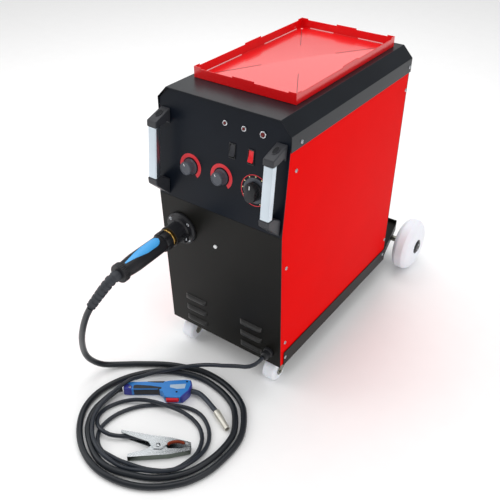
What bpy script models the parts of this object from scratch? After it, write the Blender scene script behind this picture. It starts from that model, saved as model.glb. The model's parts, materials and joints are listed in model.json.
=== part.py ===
"""Wheeled wire-feed welding machine: cabinet, wire feeder, torch lead and earth lead.

Metres, +Z up, floor at z = 0, the machine's front faces -Y and its middle plane is x = 0.
Every y below is measured from the hood's front edge and moved by FRONT at the end.
"""
import bpy
import bmesh
from math import atan2, cos, hypot, pi, sin
from mathutils import Matrix, Vector

# ---- driving dimensions ------------------------------------------------------------------
HOOD_W = 0.320          # width over the hood
HOOD_D = 0.504          # depth of the hood
TOP_Z = 0.6624          # hood top above the floor
BASE_Z = 0.0690         # underside of the base pan above the floor
FLANGE_H = 0.0383       # height of the base pan's side flange
SHEET = 0.0015          # sheet-metal thickness
GAP = 0.0003            # room left between pieces that touch
BODY_X = 0.1573         # outer face of the side panels
KNEE_Y, KNEE_Z = -0.0189, TOP_Z - 0.2348    # where the front bends
FOOT_Y = -0.0078        # front face at the bottom
BROW_Y = 0.0064         # front face at hood-top height
SKIRT_DROP = 0.058      # hood top to the lower edge of its sides
CHAMFER_X, CHAMFER_Z = 0.0245, 0.0255
WHEEL_R, WHEEL_W, WHEEL_X, AXLE_Y = 0.0725, 0.050, 0.1850, 0.611
CASTOR_R, CASTOR_W, CASTOR_X = 0.026, 0.032, 0.122
CASTOR_AXLE_Y, SWIVEL_Y = 0.019, 0.049
PLATFORM_END, PLATFORM_Z = 0.650, 0.098
WIRE_X, WIRE_Z = -0.1018, 0.3536            # line of the wire through the torch socket
DIVIDER_X = -0.0400
TORCH_D, EARTH_D = 0.014, 0.0092            # cable diameters
FRONT = -0.3111         # y of the hood's front edge, which puts y = 0 at mid-length

LEAN = atan2(BROW_Y - KNEE_Y, TOP_Z - KNEE_Z)          # control panel, top leans back
TUCK = atan2(FOOT_Y - KNEE_Y, KNEE_Z - BASE_Z)         # lower front, foot set back

RED = ("#D80F12", 0.35, 0.0)
BLACK_PAINT = ("#2B2A27", 0.45, 0.0)
BLUE_BLACK = ("#1D2733", 0.4, 0.0)
GREY_PAINT = ("#3E4248", 0.35, 0.0)
DARK_PLASTIC = ("#3A3B40", 0.55, 0.0)
BLUE_PLASTIC = ("#2A78BE", 0.4, 0.0)
RUBBER = ("#2A2E33", 0.7, 0.0)
ZINC = ("#8C8F88", 0.35, 1.0)
ALUMINIUM = ("#C9D6DF", 0.3, 1.0)
BRASS = ("#D0A860", 0.3, 1.0)
NYLON = ("#ECEEF4", 0.45, 0.0)
COPPER = ("#B06A40", 0.35, 1.0)
CORE_STEEL = ("#55575A", 0.5, 1.0)


# ---- making and placing meshes --------------------------------------------------------------
def linear(hex_colour):
    def channel(value):
        value /= 255
        return value / 12.92 if value <= 0.04045 else ((value + 0.055) / 1.055) ** 2.4
    return [channel(int(hex_colour[i:i + 2], 16)) for i in (1, 3, 5)] + [1.0]


def material(name, finish):
    colour, roughness, metallic = finish
    mat = bpy.data.materials.new(name)
    mat.use_nodes = True
    shader = mat.node_tree.nodes["Principled BSDF"]
    shader.inputs["Base Color"].default_value = linear(colour)
    shader.inputs["Roughness"].default_value = roughness
    shader.inputs["Metallic"].default_value = metallic
    return mat


def node(name, mesh_parts, finish, cuts=(), added=(), drilled=(), pivot=(0, 0, 0)):
    """One closed solid: mesh_parts joined, cuts taken away, then added joined and drilled taken away.

    A moving piece gives its pivot, a point on its joint's axis, which becomes the object's origin."""
    main = bpy.data.objects.new(name, to_mesh(name, mesh_parts[0]))
    bpy.context.collection.objects.link(main)
    for part in mesh_parts[1:]:
        apply_boolean(main, part, 'UNION')
    for part in cuts:
        apply_boolean(main, part, 'DIFFERENCE')
    for part in added:
        apply_boolean(main, part, 'UNION')
    for part in drilled:
        apply_boolean(main, part, 'DIFFERENCE')
    main.data.materials.clear()
    main.data.materials.append(material(name, finish))
    main.data.shade_smooth()
    main.data.set_sharp_from_angle(angle=0.6)
    pivot = Vector(pivot)
    main.data.transform(Matrix.Translation(-pivot))
    main.location = pivot + Vector((0, FRONT, 0))
    return main


def to_mesh(name, bm):
    bmesh.ops.recalc_face_normals(bm, faces=bm.faces)
    mesh = bpy.data.meshes.new(name)
    bm.to_mesh(mesh)
    bm.free()
    return mesh


def apply_boolean(target, bm, operation):
    tool = bpy.data.objects.new("tool", to_mesh("tool", bm))
    bpy.context.collection.objects.link(tool)
    modifier = target.modifiers.new("shape", 'BOOLEAN')
    modifier.operation = operation
    modifier.solver = 'EXACT'
    modifier.object = tool
    graph = bpy.context.evaluated_depsgraph_get()
    graph.update()
    result = bpy.data.meshes.new_from_object(target.evaluated_get(graph))
    target.modifiers.clear()
    target.data = result
    bpy.data.objects.remove(tool, do_unlink=True)


def prism(outline, axis, low, high, place=None):
    """A flat outline pushed along one axis; its points are the other two coordinates in order."""
    order = {'X': (2, 0, 1), 'Y': (0, 2, 1), 'Z': (0, 1, 2)}[axis]
    bm = bmesh.new()
    rings = []
    for depth in (low, high):
        ring = []
        for first, second in outline:
            values = (first, second, depth)
            ring.append(bm.verts.new([values[order.index(i)] if axis == 'Z' else values[i] for i in order]))
        rings.append(ring)
    bm.faces.new(rings[0])
    bm.faces.new(list(reversed(rings[1])))
    count = len(outline)
    for i in range(count):
        j = (i + 1) % count
        bm.faces.new((rings[0][i], rings[0][j], rings[1][j], rings[1][i]))
    if place:
        bm.transform(place)
    return bm


def block(low, high, place=None):
    outline = [(low[0], low[1]), (high[0], low[1]), (high[0], high[1]), (low[0], high[1])]
    return prism(outline, 'Z', low[2], high[2], place)


def turned(profile, place, sides=20):
    """A profile of (radius, height) turned about local Z; radius 0 closes on the axis."""
    bm = bmesh.new()
    rings = []
    for radius, height in profile:
        if radius == 0:
            rings.append([bm.verts.new((0, 0, height))])
        else:
            rings.append([bm.verts.new((radius * cos(2 * pi * k / sides), radius * sin(2 * pi * k / sides),
                                        height)) for k in range(sides)])
    pairs = list(zip(rings, rings[1:]))
    if profile[0][0] > 0:
        pairs.append((rings[-1], rings[0]))
    for one, two in pairs:
        for k in range(sides):
            nxt = (k + 1) % sides
            corners = [one[k % len(one)], one[nxt % len(one)], two[nxt % len(two)], two[k % len(two)]]
            bm.faces.new(list(dict.fromkeys(corners)))
    bm.transform(place)
    return bm


def rod(radius, low, high, place, sides=20):
    return turned([(0, low), (radius, low), (radius, high), (0, high)], place, sides)


def at(x, y, z):
    return Matrix.Translation((x, y, z))


def along(direction, x, y, z, up=(0, 0, 1)):
    """Local Z along direction, local Y as near to up as it can be, at a point."""
    third = Vector(direction).normalized()
    first = Vector(up).cross(third).normalized()
    second = third.cross(first)
    turn = Matrix((first, second, third)).transposed().to_4x4()
    return Matrix.Translation((x, y, z)) @ turn


def front_y(z):
    """Front face of the sheet at a height."""
    if z >= KNEE_Z:
        return KNEE_Y + (z - KNEE_Z) * (BROW_Y - KNEE_Y) / (TOP_Z - KNEE_Z)
    return KNEE_Y + (KNEE_Z - z) * (FOOT_Y - KNEE_Y) / (KNEE_Z - BASE_Z)


def on_panel(x, z):
    """Local Z points out of the control panel, local Y runs up it, local X to the right."""
    return along((0, -cos(LEAN), sin(LEAN)), x, front_y(z), z)


def on_front(x, z):
    """The same on the lower front sheet."""
    return along((0, -cos(TUCK), -sin(TUCK)), x, front_y(z), z)


def rounded(width, height, radius, steps=3):
    points = []
    for k, (sx, sy) in enumerate(((1, 1), (-1, 1), (-1, -1), (1, -1))):
        for i in range(steps + 1):
            angle = pi / 2 * (k + i / steps)
            points.append((sx * (width / 2 - radius) + radius * cos(angle),
                           sy * (height / 2 - radius) + radius * sin(angle)))
    return points


# ---- cabinet ---------------------------------------------------------------------------------
def base_pan():
    out, inn = BODY_X + 0.0022, BODY_X + 0.0007
    high, low, floor = BASE_Z + FLANGE_H, BASE_Z, BASE_Z + 0.002
    outline = [(-out, high), (-out, low), (out, low), (out, high), (inn, high), (inn, floor),
               (-inn, floor), (-inn, high)]
    node("base_pan", [prism(outline, 'Y', 0.0040, 0.5050)], BLACK_PAINT)


def bottle_platform():
    wide, narrow, wall, low = BODY_X, 0.125, 0.002, 0.0740
    start = 0.5053
    outer = [(-wide, start), (wide, start), (narrow, PLATFORM_END), (-narrow, PLATFORM_END)]
    inner = [(-wide + wall, start - 0.01), (wide - wall, start - 0.01),
             (narrow - wall, PLATFORM_END - wall), (-narrow + wall, PLATFORM_END - wall)]
    parts = [prism(outer, 'Z', low, PLATFORM_Z),
             block((-narrow, PLATFORM_END - wall, PLATFORM_Z - 0.001),
                   (narrow, PLATFORM_END, PLATFORM_Z + 0.010))]
    cuts = [prism(inner, 'Z', low - 0.01, PLATFORM_Z - wall)]
    for side in (-1, 1):
        centre = side * 0.112
        lug = [(AXLE_Y - 0.018, PLATFORM_Z - 0.001), (AXLE_Y - 0.012, 0.050), (AXLE_Y + 0.012, 0.050),
               (AXLE_Y + 0.018, PLATFORM_Z - 0.001)]
        parts.append(prism(lug, 'X', centre - 0.002, centre + 0.002))
    bores = rod(0.0083, -0.2, 0.2, along((1, 0, 0), 0, AXLE_Y, WHEEL_R), 16)
    node("bottle_platform", [parts[0]], BLACK_PAINT, cuts, parts[1:], [bores])


def hood():
    half, low = HOOD_W / 2, TOP_Z - SKIRT_DROP
    outer = [(half, low), (half, TOP_Z - CHAMFER_Z), (half - CHAMFER_X, TOP_Z)]
    inner = [(half - CHAMFER_X - 0.0006, TOP_Z - SHEET), (half - SHEET, TOP_Z - CHAMFER_Z - 0.0006),
             (half - SHEET, low)]
    right = outer
    left = [(-x, z) for x, z in reversed(outer)]
    inner_left = [(-x, z) for x, z in reversed(inner)]
    node("hood", [prism(right + left + inner_left + inner, 'Y', 0, HOOD_D)], GREY_PAINT)


def under_hood(foot):
    """Outline that just fits inside the hood, from the height foot up."""
    side = BODY_X
    half = [(side, foot), (side, TOP_Z - CHAMFER_Z - 0.0026),
            (HOOD_W / 2 - CHAMFER_X - 0.0020, TOP_Z - 0.0022)]
    return half + [(-x, z) for x, z in reversed(half)]


def front_sheet(name, outline, finish, cuts):
    """A flat sheet in X and Z bent to follow the front face."""
    bm = prism(outline, 'Y', 0, SHEET)
    for vert in bm.verts:
        vert.co.y += front_y(vert.co.z)
    node(name, [bm], finish, cuts)


LED_SPOTS = {"led_left": (0.0093, 0.0046), "led_middle": (0.0536, 0.0046), "led_right": (0.0970, 0.0060)}
LED_Z = TOP_Z - 0.0387
ROCKER_SPOTS = {"time": 0.0294, "power": 0.0733}
ROCKER_Z = TOP_Z - 0.0892
KNOB_SPOTS = {"delay_knob": (-0.0735, TOP_Z - 0.1520), "speed_knob": (0.0055, TOP_Z - 0.1507)}
CAM_X, CAM_Z = 0.0870, TOP_Z - 0.1545
GLAND_X, GLAND_Z = 0.1277, TOP_Z - 0.5574
LOUVRE_X = {"left": (-0.1091, -0.0496), "right": (0.0477, 0.1085)}
LOUVRE_Z = [TOP_Z - 0.5050 - 0.0328 * row for row in range(3)]


def control_panel():
    cuts = []
    for x, radius in LED_SPOTS.values():
        cuts.append(rod(radius - 0.0010 + GAP, -0.01, 0.01, on_panel(x, LED_Z), 16))
    for x in ROCKER_SPOTS.values():
        cuts.append(block((-0.0071, -0.0147, -0.01), (0.0071, 0.0147, 0.01), on_panel(x, ROCKER_Z)))
    for x, z in KNOB_SPOTS.values():
        cuts.append(rod(0.0036, -0.01, 0.01, on_panel(x, z), 16))
    cuts.append(rod(0.0046, -0.01, 0.01, on_panel(CAM_X, CAM_Z), 16))
    front_sheet("control_panel", under_hood(KNEE_Z + 0.0002), BLUE_BLACK, cuts)


def front_panel():
    low, high = BASE_Z, KNEE_Z - 0.0002
    outline = [(-BODY_X, low), (BODY_X, low), (BODY_X, high), (-BODY_X, high)]
    cuts = [rod(0.0235, -0.02, 0.02, on_front(WIRE_X, WIRE_Z), 24),
            rod(0.0083, -0.02, 0.02, on_front(GLAND_X, GLAND_Z), 16)]
    for low_x, high_x in LOUVRE_X.values():
        for z in LOUVRE_Z:
            cuts.append(block((low_x + 0.004, -0.03, z - 0.004), (high_x - 0.004, 0.01, z + 0.002)))
    front_sheet("front_panel", outline, BLACK_PAINT, cuts)


def side_outline(low, high, back, clear):
    return [(front_y(low) + SHEET + clear, low), (front_y(KNEE_Z) + SHEET + clear, KNEE_Z),
            (front_y(high) + SHEET + clear, high), (back, high), (back, low)]


def right_side_panel():
    outline = side_outline(BASE_Z + 0.0035, TOP_Z - 0.030, 0.5010, GAP)
    node("right_side_panel", [prism(outline, 'X', BODY_X - SHEET, BODY_X)], RED)


DOOR_BACK, DOOR_LOW, DOOR_HIGH = 0.4960, BASE_Z + FLANGE_H + 0.0015, TOP_Z - SKIRT_DROP - 0.0015
HINGE_X, HINGE_Y = -0.1570, 0.4970
LATCH_Y, LATCH_Z = 0.0300, 0.3600


def left_side_door():
    """Flat lift-out door skin, hinged at its back edge."""
    outline = side_outline(DOOR_LOW, DOOR_HIGH, DOOR_BACK, 0.0007)
    latch_hole = rod(0.0063, -0.02, 0.02, along((1, 0, 0), -BODY_X, LATCH_Y, LATCH_Z), 16)
    node("left_side_door", [prism(outline, 'X', -BODY_X, -BODY_X + SHEET)], RED, [latch_hole],
         pivot=(HINGE_X, HINGE_Y, 0.3500))


def door_latch():
    """Quarter-turn latch: flanged barrel, finger bar outside and cam tongue inside."""
    place = along((-1, 0, 0), -BODY_X, LATCH_Y, LATCH_Z)
    node("door_latch", [turned([(0, -0.012), (0.0060, -0.012), (0.0060, 0.0003), (0.0110, 0.0003),
                                (0.0110, 0.0028), (0, 0.0028)], place, 20),
                        block((-0.0025, -0.0090, 0.0025), (0.0025, 0.0090, 0.0110), place),
                        block((-0.0040, -0.0160, -0.0115), (0.0040, 0.0030, -0.0095), place)], DARK_PLASTIC,
         pivot=(-BODY_X, LATCH_Y, LATCH_Z))


def rear_panel():
    fan = rod(0.0540, -0.02, 0.02, along((0, 1, 0), 0.0600, 0.5020, 0.3900), 28)
    gas = rod(0.0063, -0.02, 0.02, along((0, 1, 0), -0.1000, 0.5020, 0.1600), 16)
    node("rear_panel", [prism(under_hood(BASE_Z + 0.0035), 'Y', 0.5015, 0.5030)], BLACK_PAINT, [fan, gas])


def inner_divider():
    outline = [(0.0140, BASE_Z + 0.0023), (0.5010, BASE_Z + 0.0023), (0.5010, 0.6300), (0.0140, 0.6300)]
    hub = rod(0.0060, -0.02, 0.02, along((1, 0, 0), DIVIDER_X, 0.3300, 0.4450), 16)
    motor = rod(0.0200, -0.02, 0.02, along((1, 0, 0), DIVIDER_X, 0.1050, WIRE_Z - 0.0200), 20)
    node("inner_divider", [prism(outline, 'X', DIVIDER_X, DIVIDER_X + SHEET)], ZINC, [hub, motor])


TRAY_X, TRAY_FRONT, TRAY_BACK, TRAY_H, TRAY_WALL = 0.1220, 0.0715, 0.4780, 0.0230, 0.0014


def top_tray():
    """Folded tool tray; the lips stand higher at the corners and at mid-side."""
    low = TOP_Z + GAP
    high, dip = low + TRAY_H, 0.0030
    body = block((-TRAY_X, TRAY_FRONT, low), (TRAY_X, TRAY_BACK, high))
    pocket = block((-TRAY_X + TRAY_WALL, TRAY_FRONT + TRAY_WALL, low + TRAY_WALL),
                   (TRAY_X - TRAY_WALL, TRAY_BACK - TRAY_WALL, high + 0.01))
    cuts = [pocket]
    middle, corner, centre = (TRAY_FRONT + TRAY_BACK) / 2, 0.0180, 0.0260
    for side in (-1, 1):
        near, far = sorted((side * centre, side * (TRAY_X - corner)))
        cuts.append(block((near, TRAY_FRONT - 0.01, high - dip), (far, TRAY_BACK + 0.01, high + 0.01)))
        half_length = (TRAY_BACK - TRAY_FRONT) / 2
        near, far = sorted((middle + side * 0.0300, middle + side * (half_length - corner)))
        cuts.append(block((-TRAY_X - 0.01, near, high - dip), (TRAY_X + 0.01, far, high + 0.01)))
    node("top_tray", [body], RED, cuts)


# ---- lifting handles ---------------------------------------------------------------------------
HANDLE_X = 0.1398
BAR_TOP, BAR_LOW = TOP_Z - 0.0717, TOP_Z - 0.1805
BAR_OFF, BAR_W, BAR_T = 0.0430, 0.0215, 0.0145


def bar_y(z):
    return front_y(z) - BAR_OFF


def handle_brackets(side, x):
    half = 0.0120
    upper = [(front_y(TOP_Z - 0.0430) - GAP, TOP_Z - 0.0430), (bar_y(BAR_TOP) - 0.0005, TOP_Z - 0.0577),
             (bar_y(BAR_TOP) - 0.0012, BAR_TOP + GAP), (bar_y(BAR_TOP) + BAR_T + 0.0015, BAR_TOP + GAP),
             (front_y(BAR_TOP) - 0.0080, BAR_TOP + 0.0040), (front_y(BAR_TOP - 0.004) - GAP, BAR_TOP - 0.0040)]
    lower = [(bar_y(BAR_LOW) - 0.0012, BAR_LOW - GAP), (bar_y(BAR_LOW) - 0.0005, BAR_LOW - 0.0140),
             (front_y(TOP_Z - 0.2310) - GAP, TOP_Z - 0.2310), (front_y(TOP_Z - 0.1960) - GAP, TOP_Z - 0.1960),
             (front_y(BAR_LOW) - 0.0100, BAR_LOW - 0.0100), (bar_y(BAR_LOW) + BAR_T + 0.0015, BAR_LOW - GAP)]
    node(f"handle_bracket_{side}_upper", [prism(upper, 'X', x - half, x + half)], DARK_PLASTIC)
    node(f"handle_bracket_{side}_lower", [prism(lower, 'X', x - half, x + half)], DARK_PLASTIC)


def handle_bar(side, x):
    """Extruded aluminium bar with rounded edges, square to the panel's lean."""
    outline = [(px, py + BAR_T / 2) for px, py in rounded(BAR_W, BAR_T, 0.0030, 2)]
    bm = prism(outline, 'Z', BAR_LOW, BAR_TOP)
    for vert in bm.verts:
        vert.co.x += x
        vert.co.y += bar_y(vert.co.z)
    node(f"handle_bar_{side}", [bm], ALUMINIUM)


# ---- controls ------------------------------------------------------------------------------------
def leds():
    for name, (x, radius) in LED_SPOTS.items():
        lens = radius - 0.0016
        stem = radius - 0.0010
        profile = [(0, -0.0120), (stem, -0.0120), (stem, GAP), (radius, GAP), (radius - 0.0006, 0.0018),
                   (lens, 0.0020), (lens * 0.92, 0.0036), (lens * 0.6, 0.0050), (0, 0.0056)]
        node(name, [turned(profile, on_panel(x, LED_Z), 14)], ("#D23A3A", 0.25, 0.0))


ROCKER_TILT = 10 * pi / 180
ROCKER_PIVOT = -0.0040


def rocker(name, x, finish):
    """Snap-in rocker: open tub behind the panel with a thin rim, and the rocker that tips in it."""
    place = on_panel(x, ROCKER_Z)
    tub = block((-0.0068, -0.0144, -0.0135), (0.0068, 0.0144, 0.0004), place)
    rim = block((-0.0075, -0.0157, GAP), (0.0075, 0.0157, 0.0018), place)
    pocket = block((-0.0061, -0.0134, -0.0125), (0.0061, 0.0134, 0.0100), place)
    node(f"{name}_switch_housing", [tub, rim], DARK_PLASTIC, [pocket])
    outline = [(-0.0119, 0.0025), (0, 0.0012), (0.0119, 0.0025), (0.0116, -0.0010), (0.0050, -0.0066),
               (-0.0050, -0.0066), (-0.0116, -0.0010)]
    tilt = place @ at(0, 0, ROCKER_PIVOT) @ Matrix.Rotation(-ROCKER_TILT, 4, 'X') @ at(0, 0, -ROCKER_PIVOT)
    node(f"{name}_switch_rocker", [prism(outline, 'X', -0.0058, 0.0058, tilt)], finish,
         pivot=place @ Vector((0, 0, ROCKER_PIVOT)))


def round_knob(name, x, z):
    profile = [(0, -0.0100), (0.0030, -0.0100), (0.0030, 0.0005), (0.0165, 0.0005), (0.0160, 0.0030),
               (0.0150, 0.0040), (0.0140, 0.0165), (0.0130, 0.0178), (0, 0.0178)]
    node(name, [turned(profile, on_panel(x, z), 24)], DARK_PLASTIC, pivot=(x, front_y(z), z))


def cam_knob():
    """Range switch: round skirt with one raised finger grip across it."""
    place = on_panel(CAM_X, CAM_Z)
    skirt = turned([(0, -0.0140), (0.0040, -0.0140), (0.0040, 0.0005), (0.0175, 0.0005), (0.0165, 0.0060),
                    (0, 0.0060)], place, 24)
    grip = []
    for k in range(20):
        angle = 2 * pi * k / 20
        reach = 0.0085 + 0.0120 * abs(sin(angle)) ** 1.6
        grip.append((reach * cos(angle), reach * sin(angle)))
    node("range_switch_knob", [skirt, prism(grip, 'Z', 0.0050, 0.0200, place)], DARK_PLASTIC,
         pivot=(CAM_X, front_y(CAM_Z), CAM_Z))


# ---- torch connection ------------------------------------------------------------------------------
def torch_socket():
    place = on_front(WIRE_X, WIRE_Z)
    body = turned([(0.0060, -0.0220), (0.0200, -0.0220), (0.0200, 0.0005), (0.0385, 0.0005), (0.0385, 0.0050),
                   (0.0350, 0.0080), (0.0250, 0.0090), (0.0225, 0.0130), (0.0225, 0.0370), (0.0240, 0.0380),
                   (0.0240, 0.0440), (0.0180, 0.0440), (0.0180, 0.0330), (0.0060, 0.0330)], place, 28)
    ear = block((0.0180, -0.0140, 0.0140), (0.0300, 0.0020, 0.0300), place)
    node("torch_socket", [body, ear], DARK_PLASTIC)


def torch_plug():
    place = on_front(WIRE_X, WIRE_Z)
    node("torch_plug_nut", [turned([(0, 0.0334), (0.0175, 0.0334), (0.0175, 0.0473), (0.0205, 0.0473),
                                    (0.0225, 0.0490), (0.0225, 0.0690), (0.0205, 0.0710), (0, 0.0710)],
                                   place, 16)], DARK_PLASTIC)
    node("torch_plug_housing", [turned([(0, 0.0713), (0.0190, 0.0713), (0.0195, 0.1000), (0.0200, 0.1500),
                                        (0.0175, 0.1800), (0.0175, 0.1830), (0.0210, 0.1835), (0.0210, 0.1960),
                                        (0.0195, 0.1980), (0, 0.1980)], place, 20)], DARK_PLASTIC)


def earth_gland():
    place = on_front(GLAND_X, GLAND_Z)
    body = turned([(0, -0.0100), (0.0080, -0.0100), (0.0080, 0.0005), (0.0125, 0.0005), (0.0125, 0.0070),
                   (0.0105, 0.0080), (0.0105, 0.0190), (0.0070, 0.0240), (0, 0.0240)], place, 12)
    node("earth_cable_gland", [body], DARK_PLASTIC)


def rear_fittings():
    gas = along((0, 1, 0), -0.1000, 0.5030, 0.1600)
    body = turned([(0, -0.0180), (0.0060, -0.0180), (0.0060, GAP), (0.0090, GAP), (0.0090, 0.0050), (0.0035, 0.0060),
                   (0.0035, 0.0085), (0.0045, 0.0110), (0.0035, 0.0135), (0, 0.0135)], gas, 12)
    valve = block((-0.0140, -0.0160, -0.0520), (0.0140, 0.0160, -0.0170), gas)
    coil = block((-0.0120, 0.0150, -0.0480), (0.0120, 0.0420, -0.0210), gas)
    node("gas_valve", [valve, body, coil], BRASS)


# ---- wheels ---------------------------------------------------------------------------------------
def rear_wheels():
    axle = along((1, 0, 0), 0, AXLE_Y, WHEEL_R)
    node("rear_axle", [turned([(0, -0.2135), (0.0135, -0.2135), (0.0135, -0.2105), (0.0080, -0.2105),
                               (0.0080, 0.2105), (0.0135, 0.2105), (0.0135, 0.2135), (0, 0.2135)], axle, 16)], ZINC)
    half = WHEEL_W / 2
    profile = [(0.0086, -half), (0.0220, -half), (0.0570, -half + 0.0015), (0.0665, -half + 0.0065),
               (WHEEL_R, -half + 0.0150), (WHEEL_R, half - 0.0150), (0.0665, half - 0.0065),
               (0.0570, half - 0.0015), (0.0220, half), (0.0086, half)]
    for side, sign in (("left", -1), ("right", 1)):
        place = along((1, 0, 0), sign * WHEEL_X, AXLE_Y, WHEEL_R)
        node(f"rear_wheel_{side}", [turned(profile, place, 32)], NYLON, pivot=(sign * WHEEL_X, AXLE_Y, WHEEL_R))


def castors():
    for side, sign in (("left", -1), ("right", 1)):
        x = sign * CASTOR_X
        top = BASE_Z - GAP
        plate = block((x - 0.0290, SWIVEL_Y - 0.0250, top - 0.0025), (x + 0.0290, SWIVEL_Y + 0.0350, top))
        boss = rod(0.0190, top - 0.0070, top - 0.0020, at(x, SWIVEL_Y, 0), 20)
        node(f"castor_plate_{side}", [plate, boss], ZINC)
        crown_low, crown_high = 0.0560, top - 0.0073
        crown = prism([(-0.0193, -0.0100), (-0.0100, -0.0190), (0.0100, -0.0190), (0.0193, -0.0100),
                       (0.0193, 0.0150), (0.0100, 0.0190), (-0.0100, 0.0190), (-0.0193, 0.0150)],
                      'Z', crown_low, crown_high, at(x, SWIVEL_Y, 0))
        parts = [crown]
        for hand in (-1, 1):
            inner = x + hand * (CASTOR_W / 2 + 0.0010)
            outer = inner + hand * 0.0022
            leg = [(CASTOR_AXLE_Y - 0.0070, CASTOR_R + 0.0050), (CASTOR_AXLE_Y - 0.0085, CASTOR_R),
                   (CASTOR_AXLE_Y - 0.0050, CASTOR_R - 0.0076), (CASTOR_AXLE_Y + 0.0040, CASTOR_R - 0.0078),
                   (CASTOR_AXLE_Y + 0.0090, CASTOR_R - 0.0030), (SWIVEL_Y + 0.0140, crown_low + 0.0010),
                   (SWIVEL_Y + 0.0140, crown_high - 0.0005), (SWIVEL_Y - 0.0120, crown_high - 0.0005)]
            parts.append(prism(leg, 'X', min(inner, outer), max(inner, outer)))
        parts.append(rod(0.0038, x - 0.0215, x + 0.0215, along((1, 0, 0), 0, CASTOR_AXLE_Y, CASTOR_R), 12))
        node(f"castor_fork_{side}", parts, ZINC, pivot=(x, SWIVEL_Y, crown_high))
        half = CASTOR_W / 2
        profile = [(0.0041, -half), (0.0215, -half), (0.0250, -half + 0.0030), (CASTOR_R, -half + 0.0080),
                   (CASTOR_R, half - 0.0080), (0.0250, half - 0.0030), (0.0215, half), (0.0041, half)]
        node(f"castor_wheel_{side}", [turned(profile, along((1, 0, 0), x, CASTOR_AXLE_Y, CASTOR_R), 28)], NYLON,
             pivot=(x, CASTOR_AXLE_Y, CASTOR_R))


# ---- inside: wire feeder on the left --------------------------------------------------------------
ROLL_R, IDLER_R, ROLL_Y = 0.0150, 0.0150, 0.1050
ARM_PIVOT_Y, ARM_Z = 0.1450, WIRE_Z + 0.0170


def feed_unit():
    face = DIVIDER_X - GAP
    plate = block((face - 0.0080, 0.0400, WIRE_Z - 0.0620), (face, 0.1700, WIRE_Z + 0.0220))
    shaft_hole = rod(0.0200, -0.02, 0.02, along((1, 0, 0), face, ROLL_Y, WIRE_Z - 0.0200), 20)
    guide = block((WIRE_X - 0.0080, 0.1420, WIRE_Z - 0.0120), (face - 0.0070, 0.1660, WIRE_Z + 0.0030))
    outlet = block((WIRE_X - 0.0080, 0.0420, WIRE_Z - 0.0120), (face - 0.0070, 0.0700, WIRE_Z + 0.0060))
    node("feed_plate", [plate, guide, outlet], ALUMINIUM, [shaft_hole])
    axis_z = WIRE_Z - ROLL_R - 0.0004
    motor = along((1, 0, 0), DIVIDER_X, ROLL_Y, axis_z)
    node("feed_motor", [turned([(0, -0.0300), (0.0040, -0.0300), (0.0040, -0.0080), (0.0150, -0.0080), (0.0150, 0.0040),
                                (0.0300, 0.0040), (0.0300, 0.0300), (0.0240, 0.0300), (0.0240, 0.0900), (0, 0.0900)],
                               motor, 20)], CORE_STEEL)
    roll = along((1, 0, 0), WIRE_X, ROLL_Y, axis_z)
    node("drive_roll", [turned([(0.0043, -0.0060), (ROLL_R, -0.0060), (ROLL_R, -0.0012), (ROLL_R - 0.0010, 0),
                                (ROLL_R, 0.0012), (ROLL_R, 0.0060), (0.0090, 0.0060), (0.0090, 0.0310),
                                (0.0043, 0.0310)], roll, 24)], ZINC, pivot=(WIRE_X, ROLL_Y, axis_z))
    idler_z = WIRE_Z + IDLER_R + 0.0004
    screw = turned([(0, WIRE_Z + 0.0063), (0.0038, WIRE_Z + 0.0063), (0.0038, idler_z + 0.0060),
                    (0.0110, idler_z + 0.0070), (0.0100, idler_z + 0.0340), (0, idler_z + 0.0340)],
                   at(WIRE_X, ROLL_Y - 0.0310, 0), 16)
    arm = [screw, block((WIRE_X + 0.0100, ROLL_Y - 0.0380, idler_z - 0.0080),
                        (WIRE_X + 0.0180, ARM_PIVOT_Y + 0.0060, idler_z + 0.0080)),
           rod(0.0040, -0.0080, 0.0110, along((1, 0, 0), WIRE_X, ROLL_Y, idler_z), 12),
           block((WIRE_X - 0.0080, ROLL_Y - 0.0380, idler_z - 0.0080), (WIRE_X + 0.0110, ROLL_Y - 0.0240, idler_z + 0.0080))]
    node("pressure_arm", arm, ALUMINIUM, pivot=(WIRE_X + 0.0140, ARM_PIVOT_Y, idler_z))
    node("pressure_roll", [turned([(0.0043, -0.0060), (IDLER_R, -0.0060), (IDLER_R, 0.0060), (0.0043, 0.0060)],
                                  along((1, 0, 0), WIRE_X, ROLL_Y, idler_z), 24)], ZINC,
         pivot=(WIRE_X, ROLL_Y, idler_z))


SPOOL_Y, SPOOL_Z = 0.3300, 0.4450


def spool():
    place = along((-1, 0, 0), DIVIDER_X, SPOOL_Y, SPOOL_Z)
    node("spool_hub", [turned([(0, -0.0060), (0.0055, -0.0060), (0.0055, 0.0008), (0.0240, 0.0008), (0.0240, 0.0060),
                               (0.0100, 0.0070), (0.0100, 0.0900), (0, 0.0900)], place, 20)], DARK_PLASTIC)
    mid = along((-1, 0, 0), WIRE_X, SPOOL_Y, SPOOL_Z)
    node("wire_spool", [turned([(0.0104, -0.0275), (0.1000, -0.0275), (0.1000, -0.0250), (0.0880, -0.0250),
                                (0.0880, 0.0250), (0.1000, 0.0250), (0.1000, 0.0275), (0.0104, 0.0275)], mid, 32)],
         COPPER, pivot=(WIRE_X, SPOOL_Y, SPOOL_Z))


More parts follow.
